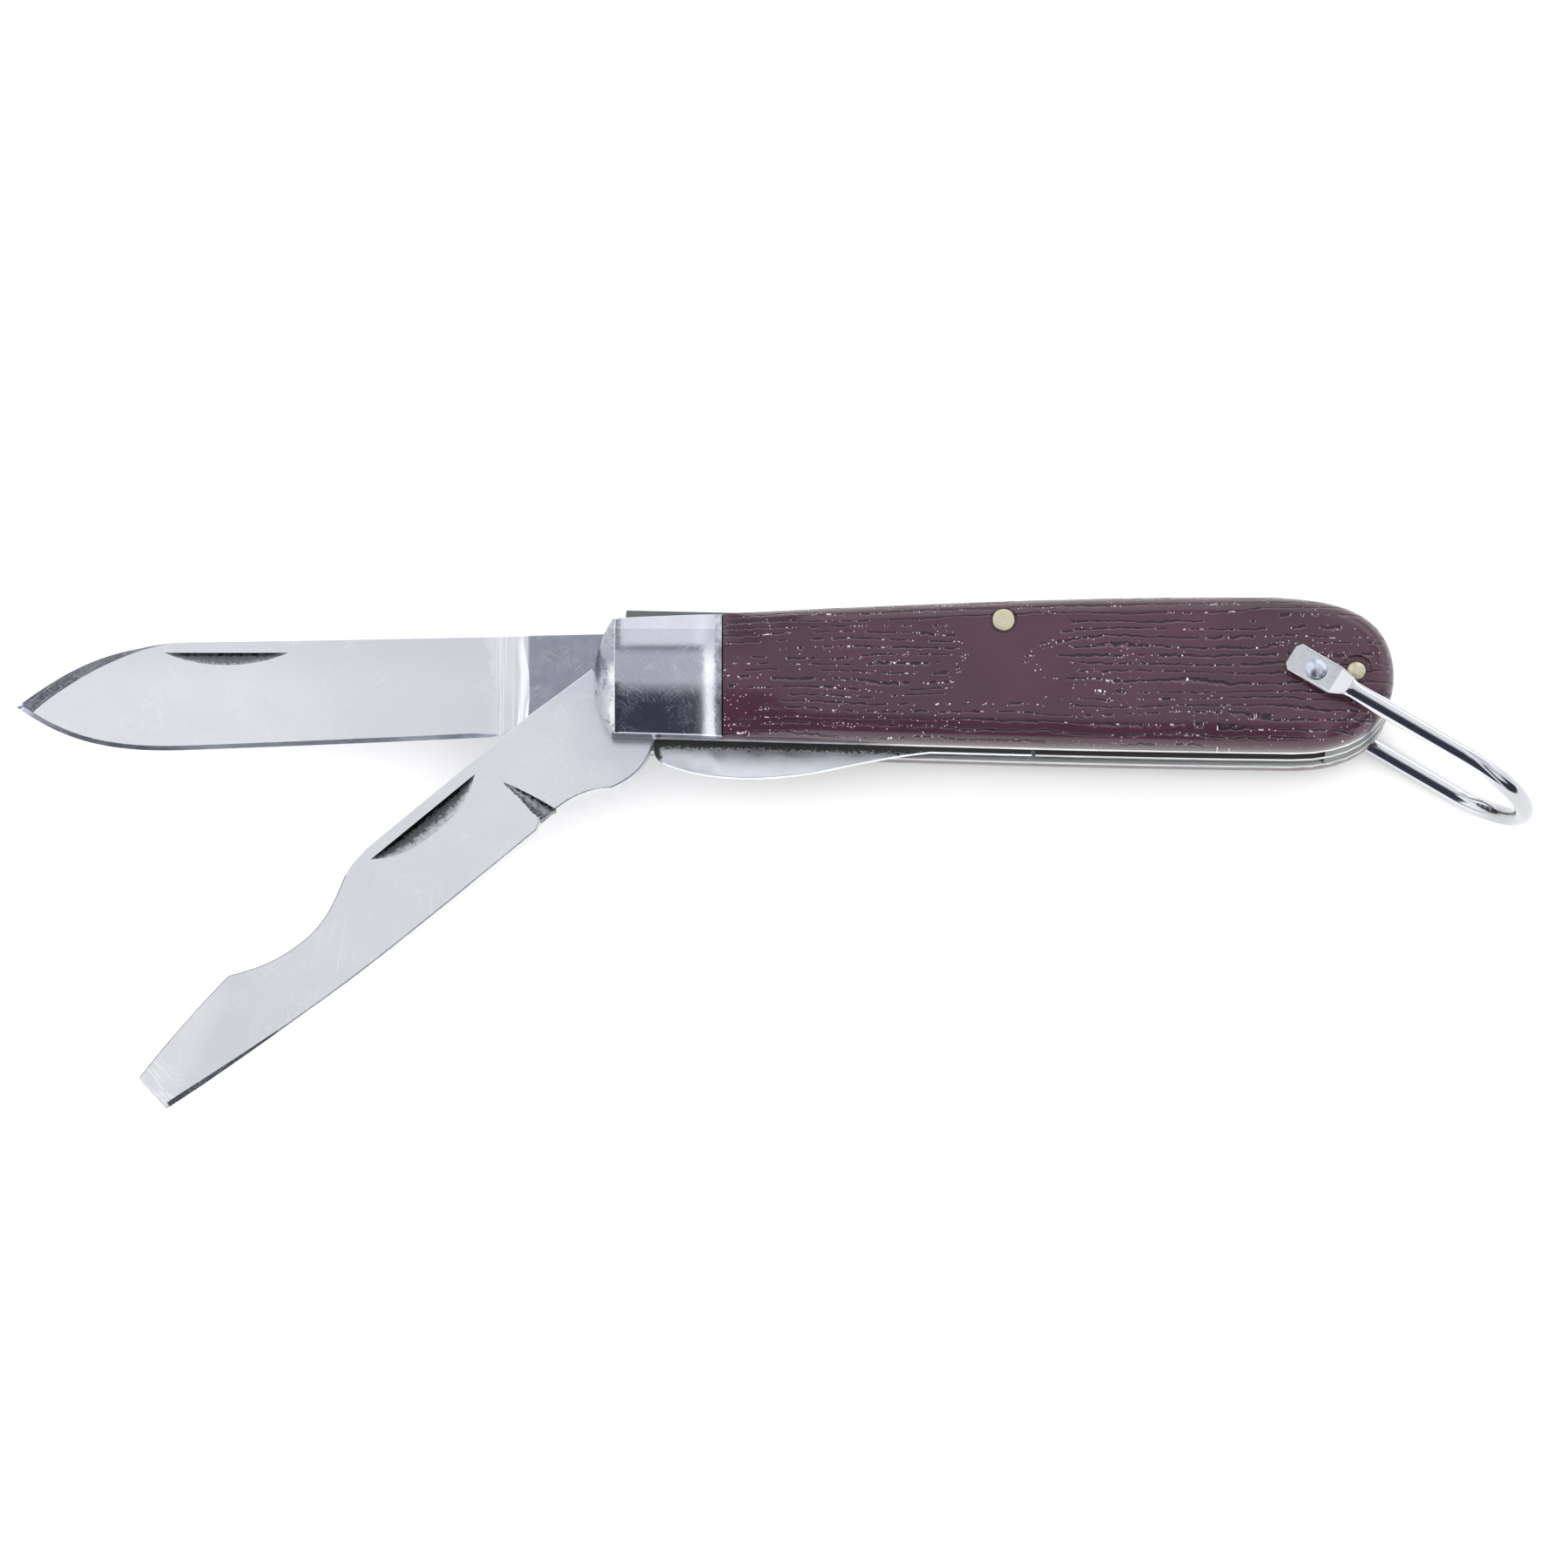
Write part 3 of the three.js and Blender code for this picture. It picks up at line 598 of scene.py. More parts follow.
def wire_tone(look, base):
    """Duller plating round the bend, where the wire rubs, and worn patches on the flat ends."""
    worn = look.noise(1.0, 4.0, 0.7, 0.0, look.stretch((1.2, 2.6, 1.0))).step(0.45, 0.62)
    base = look.blend(worn * look.x.step(2.6, 2.8, 0.25, 0.0), base, (0.36, 0.35, 0.33))
    return look.blend(look.x.step(BEND_START + 2.0, BEND_START + 6.5, 0.0, 0.9), base, (0.42, 0.43, 0.45))


def rough_hollow_painted_shade(look, share, stops, grit_share):
    """Coarse unpolished metal whose grey, painted shade in a hollow, follows share, by stops of (share,
    grey).
    """
    grit = look.noise(1.9, 3.0, 0.8)
    fine = look.noise(9.0, 1.0, 0.6)
    greys = [(at, (grey * 0.97, grey, grey * 1.08)) for at, grey in stops]
    colour = look.colours(share + grit.spread(grit_share), greys)
    return look.use(Base_Color=colour, Normal=look.bump(grit * 0.07 + fine * 0.02))


def nick_painted_shade(name, nick, stops, grit_share):
    """The hollow of a nick, with painted shade: black under its straight side and lighter toward the bow;
    stops are (share of the way down to the bow, grey).
    """
    start_x, end_x, top_y, drop, power = nick
    look = Look(name, 0.85, 0.42)
    across = abs((look.x - (start_x + end_x) / 2) / ((end_x - start_x) / 2))
    reach = (1.0 - across.at_most(0.999) ** power) * drop + 0.05
    return rough_hollow_painted_shade(look, (top_y - look.y) / reach, stops, grit_share)


def gouge_painted_shade(name):
    """The driver's gouge, with painted shade along both of its sides."""
    look = Look(name, 0.85, 0.42)
    edge = -19.1 - (look.y + 0.5) * 0.39
    width = (GOUGE_TOP_Y - look.y) * 0.36 + 0.3
    stops = ((0.0, 0.015), (0.1, 0.06), (0.22, 0.33), (0.5, 0.24), (0.72, 0.07), (0.9, 0.1), (1.0, 0.55))
    return rough_hollow_painted_shade(look, (edge - look.x) / width, stops, 1.5)


def grimy(name, colour, roughness, dirt_share, seed, painted_shade_flats=None, left_x=None):
    """Plain sheet metal with grime, and black to the left of left_x.

    Its flat faces are painted black above a line, as painted shade; painted_shade_flats gives the line's
    level in y, its slope and its raggedness.
    """
    look = Look(name, 1.0, roughness)
    grit = look.noise(1.0, 5.0, 0.8, 0.0, look.stretch((1.9, 3.0, 3.0), 0.0, (seed, 0, 0)))
    cloud = look.noise(0.35, 3.0, 0.6)
    dirt_and_painted_shade = grit.step(0.64, 0.76) * dirt_share
    if painted_shade_flats is not None:
        level, slope, ragged = painted_shade_flats
        reach = look.y - look.x * slope + grit.spread(ragged)
        # Painted shade: flat faces are blackened above the line.
        dirt_and_painted_shade = dirt_and_painted_shade.at_least(reach.step(level - 0.12, level + 0.12) * look.facing().step(0.6, 0.9))
    if left_x is not None:
        dirt_and_painted_shade = dirt_and_painted_shade.at_least((look.x - grit.spread(2.0)).step(left_x, left_x + 0.5, 1.0, 0.0))
    dirt_and_painted_shade = dirt_and_painted_shade.at_most(1.0)
    base = look.blend(cloud.step(0.3, 0.7), tuple(v * 0.84 for v in colour), colour)
    base = look.blend(dirt_and_painted_shade * 0.97, base, (0.009, 0.008, 0.008))
    rough = dirt_and_painted_shade * 0.4 + cloud.step(0.3, 0.7, roughness * 0.8, roughness * 1.3)
    height = grit * 0.012 + dirt_and_painted_shade * 0.02
    return look.use(Base_Color=base, Roughness=rough, Metallic=1.0 - dirt_and_painted_shade * 0.8, Normal=look.bump(height))


BLADE_COLOUR = (0.83, 0.83, 0.85)
BLADE_DARK = (0.79, 0.795, 0.815)
ALL_FLATS_PAINTED_SHADE = (-20.0, 0.0, 0.0)

spear_look = metal(
    "spear_steel", BLADE_COLOUR, BLADE_DARK, roughness=0.24, scratch=0.5, grain=(0.3, 5.5, 1.0),
    grain_bump=0.001, seed=2.0, speck_share=0.02, tone=spear_tone, density=0.42,
)
plunge_look = metal(
    "plunge_steel", (0.74, 0.75, 0.77), (0.68, 0.69, 0.72), roughness=0.22, scratch=0.4,
    grain=(4.0, 0.08, 1.0), grain_bump=0.008, seed=5.0, speck_share=0.02, tone=plunge_tone,
)
# Painted dark reflection: a dark steel for the swedge and the driver's bevel faces, darker than the blade's
# own steel.
painted_dark_edge_look = metal(
    "edge_steel_painted_dark", (0.155, 0.165, 0.195), (0.036, 0.042, 0.062), roughness=0.32, scratch=0.9,
    grain=(1.2, 2.5, 1.0), grain_bump=0.012, seed=7.0, speck_share=0.2, density=0.6,
)
cutting_look = metal(
    "cutting_steel", (0.74, 0.78, 0.88), (0.34, 0.37, 0.44), roughness=0.26, scratch=0.9,
    grain=(1.2, 2.5, 1.0), grain_bump=0.006, seed=9.0, speck_share=0.2, density=0.6,
)
driver_look = metal(
    "driver_steel", BLADE_COLOUR, BLADE_DARK, roughness=0.26, scratch=0.7, grain=(0.3, 4.5, 1.0),
    grain_bump=0.001, seed=11.0, speck_share=0.03, tone=driver_tone, density=0.48,
)
bolster_look = metal(
    "bolster_metal", (0.40, 0.415, 0.465), (0.37, 0.38, 0.43), roughness=0.15, scratch=0.35,
    grain=(3.0, 0.5, 1.0), grain_bump=0.0008, seed=21.0, speck_share=0.4, tone=bolster_tone, density=0.5,
    speck_colour=(0.75, 0.77, 0.82),
)
pin_look = metal(
    "pin_steel", (0.6, 0.63, 0.74), (0.5, 0.54, 0.64), roughness=0.3, grain=(2.0, 2.0, 2.0), grain_bump=0.002,
    seed=31.0,
)
brass_look = metal(
    "pale_brass", (0.63, 0.58, 0.42), (0.55, 0.5, 0.35), roughness=0.3, scratch=0.9, grain=(1.4, 3.0, 1.0),
    grain_bump=0.003, seed=41.0, speck_share=0.12, density=0.6,
)
wire_look = metal(
    "bright_plating", (0.62, 0.635, 0.66), (0.57, 0.58, 0.61), roughness=0.09, grain=(1.0, 3.0, 3.0),
    grain_bump=0.001, seed=51.0, speck_share=0.05, tone=wire_tone, density=0.35,
)
# The nicks and the gouge carry painted shade in their hollows.
spear_nick_look = nick_painted_shade(
    "nick_steel", SPEAR_NICK, ((0.0, 0.004), (0.1, 0.008), (0.2, 0.1), (0.75, 0.17), (1.0, 0.4)), 1.3,
)
driver_nick_look = nick_painted_shade(
    "driver_nick_steel", DRIVER_NICK,
    ((0.0, 0.004), (0.11, 0.008), (0.19, 0.075), (0.5, 0.09), (0.7, 0.32), (1.0, 0.55)), 1.0,
)
gouge_look = gouge_painted_shade("gouge_steel")
# Painted shade: every flat face of the front and centre liners is black, because the wells between the parts
# are in shade.
front_liner_look = grimy("liner_metal", (0.8, 0.81, 0.81), 0.3, 0.3, 2.0, ALL_FLATS_PAINTED_SHADE)
rear_liner_look = grimy("rear_liner_metal", (0.72, 0.735, 0.73), 0.35, 0.9, 3.0)
centre_liner_look = grimy("centre_liner_metal", (0.7, 0.73, 0.71), 0.35, 0.54, 5.0, ALL_FLATS_PAINTED_SHADE)
# The leaf's flat face is black along its top seam: painted shade under the scale's edge, mixed with grime.
leaf_look = grimy("leaf_metal", (0.91, 0.94, 0.985), 0.4, 0.36, 8.0, (-6.35, -0.028, 3.2), 1.1)
spring_look = grimy("spring_steel", (0.17, 0.182, 0.178), 0.42, 1.8, 12.0)


# ---------------------------------------------------------------- plastic

def grained_plastic(name, shift=0.0):
    """Glossy brown plastic, moulded with short broken grooves like the grain of a board."""
    look = Look(name, 0.0, 0.2, Specular_IOR_Level=0.44, Coat_Weight=0.12, Coat_Roughness=0.06)
    row_pitch, centre_x, centre_y = 0.98, 40.0 + shift, 1.5

    # Wavy rows along the board, each with a number and a place across it from -0.5 to 0.5.
    slow = look.noise(1.0, vector=look.stretch((0.05, 0.3, 0.0)))
    wavy = look.noise(1.0, 2.0, 0.65, vector=look.stretch((0.8, 0.6, 0.0)))
    along = look.x - centre_x
    across = look.y - centre_y
    row = (across * (1.0 - along * 0.0034) + slow.spread(2.6) + wavy.spread(0.55)) / row_pitch
    number = look.math("FLOOR", row)
    offset = look.math("FRACT", row) - 0.5

    # The smooth patch in the middle of the board, between two groups of arches that face each other.
    tall = abs(across - 1.2)
    left_side = along + tall * 0.75 + 1.3 + wavy.spread(3.0)
    right_side = along - 3.4 - tall * 1.5 + wavy.spread(3.0)
    gap = left_side.at_most(right_side * -1.0).at_most(4.6 - tall)
    smooth_patch = gap.step(-0.3, 0.4)
    rim = gap.step(-2.6, -0.9) * gap.step(-0.5, 0.2, 1.0, 0.0) * tall.step(3.6, 4.6, 1.0, 0.0)

    # Each row is broken into dashes, more of them at the right and near the long edges.
    start = number * 17.3
    dash_place = look.node("ShaderNodeCombineXYZ", {0: look.x * 0.42 + start, 1: start}).outputs[0]
    dash = look.noise(1.0, 2.0, 0.62, vector=dash_place)
    patch = look.noise(1.0, 1.0, vector=look.stretch((0.055, 0.13, 0.0), 0.0, (4.2, 1.7, 0)))
    denser = along.step(8.0, 14.0) * along.step(30.0, 38.0, 0.15, 0.06) + along.step(-7.0, -3.0, 0.05, 0.0)
    border = abs(across).step(4.6, 6.2, 0.0, 0.13)
    shown = dash + patch.spread(0.5) + denser.at_least(border) - smooth_patch * 0.5
    facing = look.facing().step(0.15, 0.4)
    here = shown.step(0.535, 0.56) * facing
    half = look.noise(1.5, 2.0, 0.6).step(0.3, 0.7, 0.07, 0.18)
    groove_and_painted_shade = ((1.0 - abs(offset) / half) * here).step(0.0, 0.75)
    painted_lip_highlight = abs(offset + half + 0.05).step(0.0, 0.09, 1.0, 0.0) * here
    ends = abs(shown - 0.55).step(0.0, 0.014, 1.0, 0.0)
    painted_glint = ends * abs(offset).step(0.04, 0.1, 1.0, 0.0) * wavy.step(0.42, 0.5)

    # Small pits in clusters, round the smooth patch and in the lower left corner, painted light as glints.
    distance, chance = look.cells(2.8)
    cluster = look.noise(1.0, vector=look.stretch((0.1, 0.22, 0.0), 0.3, (9.1, 3.3, 0)))
    corner = along.step(-6.0, 1.0, 0.4, 0.0) * across.step(-6.2, -4.2, 1.0, 0.0)
    wanted = (rim * 0.85).at_least(corner).at_least(cluster.step(0.45, 0.6, 0.03, 0.42))
    wanted = wanted * abs(offset).step(0.17, 0.3, 1.1, 0.25) - smooth_patch
    pit_and_painted_glint = distance.step(0.11, 0.25, 1.0, 0.0) * facing * chance.below(wanted)

    soft = look.noise(0.5, 3.0)
    base = look.blend(look.noise(0.08, 3.0).step(0.3, 0.7), paint(53, 29, 40), paint(60, 33, 46))
    # Painted shade: the groove's core is nearly black.
    base = look.blend(groove_and_painted_shade * 0.92, base, paint(14, 5, 9))
    # Painted highlight on the lower lip of each groove.
    base = look.blend(painted_lip_highlight * 0.35, base, paint(118, 92, 104))
    # Painted glints: the pits and the dash ends are lightened.
    base = look.blend(pit_and_painted_glint.at_least(painted_glint) * 0.9, base, paint(214, 205, 216))
    normal = look.bump(groove_and_painted_shade * -0.075 - pit_and_painted_glint * 0.05 + soft * 0.012)
    rough = soft.step(0.3, 0.7, 0.15, 0.23) + groove_and_painted_shade * 0.3
    return look.use(Base_Color=base, Roughness=rough, Normal=normal, Coat_Normal=normal)


# ---------------------------------------------------------------- scales

def handle_outline(start_x):
    """The handle's outline behind start_x, closed by a straight line."""
    path = Path(-4.47, 8.3)
    path.bezier(20, 9.6, 45, 11.05, 70, 11.05)
    path.bezier(80, 11.1, 88.1, 10.4, 88.7, 1.9)
    path.bezier(88.9, -3.2, 85.7, -8, 76.5, -7.85)
    path.bezier(50, -7.6, 22, -6.5, -4.47, -5.85)
    points = np.array(path.points)
    butt = points[:, 0].argmax()
    top = (start_x, np.interp(start_x, *points[:butt].T))
    bottom = (start_x, np.interp(start_x, *points[butt:][::-1].T))
    whole = Path(*top)
    whole.points += [tuple(p) for p in points[points[:, 0] > start_x]]
    whole.points += Path(*bottom).line(*top).points[:-1]
    return whole.closed()


def crown(y):
    """Level of the bolster's arch, which goes on as a straight slope beyond CROWN_REACH."""
    away = np.abs(y - CROWN_Y)
    reach = np.minimum(away, CROWN_REACH)
    fall = np.sqrt(CROWN_RADIUS ** 2 - reach ** 2)
    level = CROWN_TOP - CROWN_RADIUS + fall - (away - reach) * reach / fall
    return np.minimum(level, HANDLE_THICK)


def scale_height(points, depth):
    """Level of the scale's face: rounded edges, a slight crown, and the bolster's section at its front."""
    short = EDGE_ROUND - np.minimum(depth, EDGE_ROUND)
    rounded = HANDLE_THICK - EDGE_ROUND + np.sqrt(np.maximum(EDGE_ROUND ** 2 - short ** 2, 0))
    rounded -= 0.0032 * np.clip(np.abs(points[:, 1] - CROWN_Y) - 1.0, 0, None) ** 2
    share = 1 - smoothstep(BOLSTER_END_X, 18, points[:, 0])
    arched = np.minimum(rounded, crown(points[:, 1]))
    return rounded * (1 - share) + arched * share


def scale_mesh():
    """The front scale: a net on its face, rings over its rounded edge, walls and a flat back."""
    outline = handle_outline(3.0)
    depths = [EDGE_ROUND * (1 - math.cos(math.radians(a))) for a in (90, 82, 72, 60, 48, 36, 24, 12, 0)]
    flat, triangles, ring = relief_net(inset(outline, depths[0]), [], 1.1)
    depth = distance_to(flat, np.vstack([outline, outline[:1]]))
    levels = []
    for d in depths[1:]:
        loop = inset(outline, d)
        levels.append((loop, scale_height(loop, np.full(len(loop), d))))
    levels.append((outline, np.full(len(outline), FRONT_SCALE_Z)))
    points = [np.column_stack([flat, scale_height(flat, depth)])]
    points += [np.column_stack([loop, level]) for loop, level in levels]
    n = len(outline)
    rows = [ring] + [range(len(flat) + k * n, len(flat) + (k + 1) * n) for k in range(len(levels))]
    faces = [tuple(t) for t in triangles]
    for inner, outer in zip(rows, rows[1:]):
        faces += band(inner, outer)
    faces.append(tuple(rows[-1][::-1]))
    return np.vstack(points), faces


def drill(piece, centre, radius, low, high):
    """Takes a round hole out of a piece, from level low to level high."""
    ring = circle(centre, radius, 48)
    n = len(ring)
    points = [(*(p * MM), z * MM) for z in (low, high) for p in ring]
    faces = band(range(n), range(n, 2 * n)) + [tuple(range(n)), tuple(range(n, 2 * n))[::-1]]
    mesh = bpy.data.meshes.new("drill")
    mesh.from_pydata(points, [], faces)
    mesh.flip_normals()
    tool = bpy.data.objects.new("drill", mesh)
    bpy.context.scene.collection.objects.link(tool)
    cutter = piece.modifiers.new("drill", "BOOLEAN")
    cutter.operation = "DIFFERENCE"
    cutter.solver = "EXACT"
    cutter.object = tool
    bpy.context.view_layer.update()
    result = bpy.data.meshes.new_from_object(piece.evaluated_get(bpy.context.evaluated_depsgraph_get()))
    piece.modifiers.remove(cutter)
    old = piece.data
    piece.data = result
    bpy.data.meshes.remove(old)
    bpy.data.objects.remove(tool)


def cut_and_drill(piece, low, high):
    """Cuts a scale off behind its bolster and drills its pin recesses."""
    work = bmesh.new()
    work.from_mesh(piece.data)
    cut = bmesh.ops.bisect_plane(
        work, geom=work.verts[:] + work.edges[:] + work.faces[:],
        plane_co=((BOLSTER_END_X + 0.05) * MM, 0, 0), plane_no=(-1, 0, 0), clear_outer=True, dist=1e-8,
    )
    rim = [e for e in cut["geom_cut"] if isinstance(e, bmesh.types.BMEdge)]
    bmesh.ops.edgeloop_fill(work, edges=rim)
    work.to_mesh(piece.data)
    work.free()
    for centre, radius in ((CENTRE_PIN, 1.66), (BUTT_PIN, 1.85)):
        drill(piece, centre, radius, low, high)
    piece.data.shade_smooth()
    piece.data.set_sharp_from_angle(angle=math.radians(32))


def mirrored(points, faces):
    """The same shape on the other face of the handle."""
    other = np.array(points)
    other[:, 2] = HANDLE_THICK - other[:, 2]
    return other, [tuple(f[::-1]) for f in faces]


front_plastic = grained_plastic("brown_plastic_front")
rear_plastic = grained_plastic("brown_plastic_rear", 9.0)
scale_shape = scale_mesh()
front_scale = make_piece("front_scale_moulding", "front_scale", *scale_shape, [front_plastic], 32)
cut_and_drill(front_scale, HANDLE_THICK - RECESS_DEPTH, HANDLE_THICK + 4.8)
rear_scale = make_piece("rear_scale_moulding", "rear_scale", *mirrored(*scale_shape), [rear_plastic], 32)
cut_and_drill(rear_scale, -5.0, RECESS_DEPTH)


# ---------------------------------------------------------------- bolsters

def bolster_height(points):
    """Level of the bolster's face: an arched section that rolls off at both ends, and a front bevel."""
    x, y = points[:, 0], points[:, 1]
    level = crown(y)
    level -= 0.030 * np.clip(x - 5.2, 0, None) ** 2
    level -= 0.06 * np.clip(BOLSTER_CREST_X + 0.8 - x, 0, 0.8) ** 2
    run = np.clip(BOLSTER_CREST_X - x, 0, None)
    level -= 1.05 * run + 0.19 * run ** 2
    return np.maximum(level, FRONT_SCALE_Z + 0.12)


def bolster_mesh():
    """The front bolster: a net on its face, a small edge bevel, walls and a flat back."""
    half, bevel = 7.075, 0.12
    corner = math.asin(half / BOLSTER_ARC)
    start = (-4.47, BOLSTER_MID_Y - half)
    path = Path(*start, 0.3)
    path.arc(BOLSTER_FRONT_X + BOLSTER_ARC, BOLSTER_MID_Y, BOLSTER_ARC, math.pi + corner, math.pi - corner)
    path.bezier(-0.1, 8.55, 4.3, 8.75, BOLSTER_END_X, 8.95)
    path.line(BOLSTER_END_X, -6.16)
    path.bezier(4.3, -6.08, -0.1, -5.95, *start)
    outline = path.closed()
    crest = Path(BOLSTER_CREST_X, -5.6, 0.3).line(BOLSTER_CREST_X, 8.05).points
    flat, triangles, ring = relief_net(inset(outline, bevel), [(crest, False)], 0.42)
    count, n = len(flat), len(outline)
    points = np.vstack([
        np.column_stack([flat, bolster_height(flat)]),
        np.column_stack([outline, bolster_height(outline) - bevel]),
        np.column_stack([outline, np.full(n, FRONT_SCALE_Z)]),
    ])
    upper, lower = range(count, count + n), range(count + n, count + 2 * n)
    faces = [tuple(t) for t in triangles] + band(ring, upper) + band(upper, lower)
    faces.append(tuple(lower[::-1]))
    return points, faces


bolster_shape = bolster_mesh()
make_piece("front_bolster_cap", "front_bolster", *bolster_shape, [bolster_look], 26)
make_piece("rear_bolster_cap", "rear_bolster", *mirrored(*bolster_shape), [bolster_look], 26)


# ---------------------------------------------------------------- nicks

def nick_outline(start_x, end_x, top_y, drop, power):
    """A straight side along the top and a bow below it."""
    across = np.cos(np.linspace(0, math.pi, 40))
    bow = np.stack([(start_x + end_x) / 2 + across * (end_x - start_x) / 2,
                    top_y - drop * (1 - np.abs(across) ** power)], 1)
    top = np.stack([np.linspace(start_x, end_x, 40)[1:-1], np.full(38, top_y)], 1)
    return np.vstack([bow, top])[::-1]


def nick_depth(points, nick, deep):
    """How far a thumbnail nick is cut: deepest just below its straight side, nothing at its bow."""
    start_x, end_x, top_y, drop, power = nick
    across = np.abs(points[:, 0] - (end_x + start_x) / 2) / ((end_x - start_x) / 2)
    reach = drop * np.clip(1 - across ** power, 0, None)
    down = top_y - points[:, 1]
    share = down / np.maximum(reach, 1e-6)
    live = (down > -1e-4) & (share < 1) & (reach > 0)
    wall = np.clip(down / NICK_WALL, 0, 1)
    depth = deep * np.sqrt(reach / drop) * wall * np.clip(1 - share, 0, 1) ** 0.8
    return np.where(live, depth, 0)


# ---------------------------------------------------------------- spear blade

def trace_kick(path):
    """The lower side of either tang, with its kick."""
    path.line(-2.2, -4.6)
    path.quad(-3.6, -4.8, -4.9, -5.7)
    path.quad(-7.5, -7.2, -11.2, -6.1)
    path.quad(-13.6, -4.2, -16.5, -3.9)


def spear_outline():
    tang_radius = 4.75
    corner = math.asin(4.6 / tang_radius)
    path = Path(-3.4, 8.05)
    path.line(-3.4, 4.6)
    path.arc(0, 0, tang_radius, corner, -corner)
    trace_kick(path)
    path.quad(-18.3, -4.5, -20, -4.6)
    path.bezier(-32, -5.2, -46, -5.8, -55.6, -6.15)
    path.bezier(-65.5, -6.5, -70.5, -4.7, -75.9, -0.8)
    path.bezier(-70, 3.7, -65.1, 7, -54.6, 7.1)
    path.bezier(-41.7, 7.25, -20, 7.7, -3.4, 8.05)
    return path.closed()


SWEDGE = Path(-57.6, 6.86, 0.6).bezier(-62.5, 5.95, -68.5, 3.2, -74.1, -1.75).points
PLUNGE_X = ((-8, -14.9), (-3.6, -14.75), (0, -14.45), (3, -14.5), (7, -15.2), (9, -15.6))
LEAST_EDGE_HALF = 0.03

spear_shape = spear_outline()
is_spine = (spear_shape[:, 1] > 0) & (spear_shape[:, 0] < -50) | (spear_shape[:, 0] < -75.5)
spear_spine = spear_shape[is_spine]
spear_spine = spear_spine[np.argsort(spear_spine[:, 0])]
swedge_zone = np.vstack([np.array(SWEDGE), [[-80, -6]], [[-80, 12]], [[SWEDGE[0][0], 12]]])


def plunge_x(y):
    return np.interp(y, *zip(*PLUNGE_X))


def spear_height(points):
    """Half thickness: a flat grind that rises to the tang at the plunge, less the swedge and the nick."""
    bed = 0.22 + 0.74 * np.clip((points[:, 1] + 6.2) / 13.6, 0, 1.2)
    in_swedge = np.zeros(len(points))
    near = points[:, 0] < SWEDGE[0][0]
    if near.any():
        low = distance_to(points[near], SWEDGE)
        high = distance_to(points[near], spear_spine)
        narrow = np.clip((low + high) / 0.6, 0, 1)
        share = narrow * low / np.maximum(low + high, 1e-6)
        in_swedge[near] = np.where(inside(points[near], swedge_zone), share, 0)
    ground = bed * (1 - in_swedge) + 0.1 * in_swedge
    ground -= nick_depth(points, SPEAR_NICK, 0.45)
    start = plunge_x(points[:, 1]) - PLUNGE_WIDTH
    rise = np.clip((points[:, 0] - start) / PLUNGE_WIDTH, 0, 1) ** 2.2
    return ground * (1 - rise) + BLADE_HALF * rise


on_edge = (spear_shape[:, 1] < -0.5) & (spear_shape[:, 0] < -17.0)
near_tang = smoothstep(-21.5, -17.5, spear_shape[:, 0])
spear_edge_width = np.where(on_edge, 0.5 * (1 - near_tang) + 0.1 * near_tang, 0.1)
blunt = spear_height(spear_shape) - 0.1
spear_edge_half = np.where(on_edge, LEAST_EDGE_HALF * (1 - near_tang) + blunt * near_tang, blunt)
spear_edge_half = np.maximum(spear_edge_half, LEAST_EDGE_HALF)

plunge_rows = [(float(plunge_x(y)), y) for y in np.arange(-3.3, 7.3, 0.4)]
plunge_lines = [([(x - 0.3 * k, y) for x, y in plunge_rows], False) for k in range(6)]
spear_nick_line = nick_outline(*SPEAR_NICK)
spear_points, spear_faces = blade_mesh(
    spear_shape, spear_edge_width, spear_edge_half, spear_height,
    [(SWEDGE[1:-1], False), (spear_nick_line, True), *plunge_lines], [(spear_nick_line, 0.28)],
)

plunge_side = np.array([(plunge_x(-9), -9), *plunge_rows, (plunge_x(9), 9)])
plunge_zone = np.vstack([plunge_side, plunge_side[::-1] - (GRIND_LINES_WIDTH, 0)])


def spear_edge_faces(middles):
    near = distance_to(middles[:, :2], spear_shape[on_edge])
    return (near < 0.3) & (middles[:, 0] < -18.5) & (middles[:, 1] < -0.5)


make_piece(
    "spear_blade_ground", "spear_blade", spear_points, spear_faces,
    [spear_look, spear_nick_look, plunge_look, painted_dark_edge_look, cutting_look], 9,
    kinds_of(spear_points, spear_faces, [spear_nick_line, plunge_zone, swedge_zone], spear_edge_faces),
    Matrix.Translation((0, 0, JOINT_AT["spear_pivot"][2] * MM)),
)


# ---------------------------------------------------------------- screwdriver blade

def driver_outline():
    path = Path(-3.4, 6.6)
    path.line(-3.4, 4.6)
    path.line(4, 4.6)
    path.line(4, -4.6)
    trace_kick(path)
    path.line(-20.2, -3.65)
    path.line(-21.4, -4.3)
    path.bezier(-30, -4.3, -42, -4.35, -50.3, -4)
    path.quad(-62, -3.4, -76.5, -1.8)
    path.line(-76.65, 3.15)
    path.quad(-69, 4.9, -60.6, 5.75)
    path.bezier(-57.6, 4.3, -55.2, 3.25, -50.9, 3.25)
    path.bezier(-45.6, 3.3, -42.8, 6.6, -40.2, 6.82)
    path.line(-38.2, 7.1)
    path.line(-13.2, 7.1)
    path.line(-3.4, 6.6)
    return path.closed()


TIP_RIDGE = ((-60.3, 5.3), (-61.5, 3.9), (-66.0, 2.3), (-71.0, 0.75), (-76.0, -1.35))
GOUGE_RIGHT = ((-20.55, 2.8), (-19.85, 1.3), (-19.1, -0.5), (-18.4, -2.4), (-17.95, -3.85))
GOUGE_BOX = np.array([(-21.2, 3.0), (-17.7, 3.0), (-17.2, -4.2), (-21.0, -4.2)])
GOUGE_ZONE = np.array([*GOUGE_RIGHT, (-17.9, -4.6), (-20.3, -4.6), (-20.35, -0.5), (-20.6, 2.2)])


